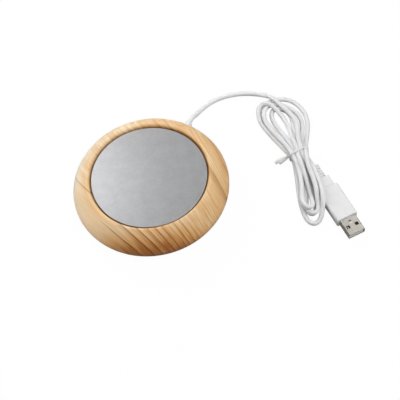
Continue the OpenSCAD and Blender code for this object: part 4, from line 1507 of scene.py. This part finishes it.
class Finishes:
    """Every finish of the object, built once and handed out by the name of its slot."""

    def __init__(self) -> None:
        """Builds the materials."""
        white, plug_turn = (0.735, 0.735, 0.74), 71.8
        finishes = {
            "wood": TurnedWood(),
            # The plate's edge gets painted shade of the shadow gap.
            "plate_metal": Metal(
                "Matte aluminium", (0.795, 0.80, 0.812), 0.39, BrushLay.NONE,
                line_size=1.5, cloud_size=7.0, contrast=0.058, uneven=0.018, speckle=0.13, gap_shade_radius=38.75,
            ),
            "cord_pvc": Moulded("Soft white cord", white, 0.38, translucency=0.12),
            "plug_pvc": Moulded("Soft white moulding", white, 0.34, translucency=0.10),
            "shell_steel": Metal(
                "Plated shell", (0.652, 0.618, 0.552), 0.32, BrushLay.ALONG_X, plug_turn,
                line_size=0.2, cloud_size=6.0,
            ),
            "contact_gold": Metal("Gold plating", (0.83, 0.62, 0.25), 0.25, BrushLay.ALONG_X, plug_turn),
            "insulator_white": Moulded("White insulator", (0.70, 0.70, 0.68), 0.45),
            "tie_wire": Moulded("Coated wire", (0.72, 0.72, 0.725), 0.34, coat=0.1),
            "cover_black": Moulded("Black cover", (0.035, 0.035, 0.038), 0.5, grain_size=0.5, depth=0.04),
            "foot_rubber": Moulded("Foot rubber", (0.028, 0.028, 0.028), 0.75),
            "screw_steel": Metal("Zinc plating", (0.58, 0.58, 0.60), 0.35),
            "sheet_steel": Metal("Steel sheet", (0.52, 0.53, 0.54), 0.4, BrushLay.ALONG_Y),
            "foil_alloy": Metal("Etched foil", (0.46, 0.38, 0.28), 0.45),
            "mica_sheet": FibreSheet("Pressed mica", (0.52, 0.42, 0.27), (0.72, 0.64, 0.48), 1.4),
            "fibre_pad": FibreSheet("Ceramic fibre", (0.80, 0.78, 0.72), (0.90, 0.89, 0.86), 0.6),
            "gasket_black": Moulded("Silicone gasket", (0.045, 0.045, 0.045), 0.6),
            "lead_red": Moulded("Red lead", (0.50, 0.04, 0.03), 0.4),
        }
        self.made = {slot: finish.build() for slot, finish in finishes.items()}

    def add(self, piece: bpy.types.Object, slot: str, *nodes: str) -> bpy.types.Object:
        """Dresses a new piece, lets it ride on the body and hides the nodes that it stands for.

        Args:
            piece: The piece.
            slot: Slot of its finish.
            nodes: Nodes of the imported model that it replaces.

        Returns:
            The piece.
        """
        piece.data.materials.clear()
        piece.data.materials.append(self.made[slot])
        LOG.info("%s: %s", piece.name, slot)
        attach(piece, BODY)
        if nodes:
            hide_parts(*nodes)
        return piece

    def dress_frame(self) -> None:
        """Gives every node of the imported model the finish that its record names."""
        for part in frame["record"]["subparts"]:
            node = frame["nodes"][part["node"]]
            for slot in node.material_slots:
                slot.material = self.made[part["material_slot"]]
            if not node.material_slots:
                node.data.materials.append(self.made[part["material_slot"]])
            LOG.info("%s: %s", part["node"], part["material_slot"])


def main() -> None:
    """Builds the studio, the cord, the plug and the casing, and dresses the rest."""
    logging.basicConfig(level=logging.INFO, format="%(name)s: %(message)s")
    Studio().build()
    finishes = Finishes()
    finishes.dress_frame()

    plug, cord = Plug(), Cord()
    path = cord.route.build(plug)
    tube = finishes.add(cord.tube(path), "cord_pvc", "power_cord", "cord_hank")
    window = (4.4, 8.8)
    carried = [
        finishes.add(cord.relief(), "cord_pvc", "strain_relief"),
        finishes.add(cord.band(path), "tie_wire", "cord_tie"),
        finishes.add(cord.knot(), "tie_wire"),
        *[finishes.add(cord.tail(i, points), "tie_wire") for i, points in enumerate(cord.tails)],
        finishes.add(plug.moulding(), "plug_pvc", "plug_overmould"),
        # Black sheet under the shell's windows: painted shade of the shell's inside.
        finishes.add(plug.strip("painted_window_shade", window, (-5.2, 5.2), (0.75, 0.85)), "cover_black"),
        finishes.add(plug.strip("shell_spring", window, (-3.45, -2.85), (1.3, 1.45)), "shell_steel"),
        finishes.add(plug.dimple("shell_dimple", plug.dimple_rim, 28), "shell_steel"),
        # Black disc in the dimple's hollow: painted shade.
        finishes.add(plug.dimple("dimple_shade", plug.dimple_floor, 24), "cover_black"),
    ]
    inner = ("plug_shell", "plug_insulator", "plug_contacts", "plug_core", "plug_cord_end", "cord_inner_end")
    carried += [frame["nodes"][name] for name in inner]
    tuple(float(value) for value in path[0] * MM)
    (path * MM).tolist()
    finishes.add(Casing().ring(), "wood", "wood_casing")


if __name__ == "__main__":
    main()
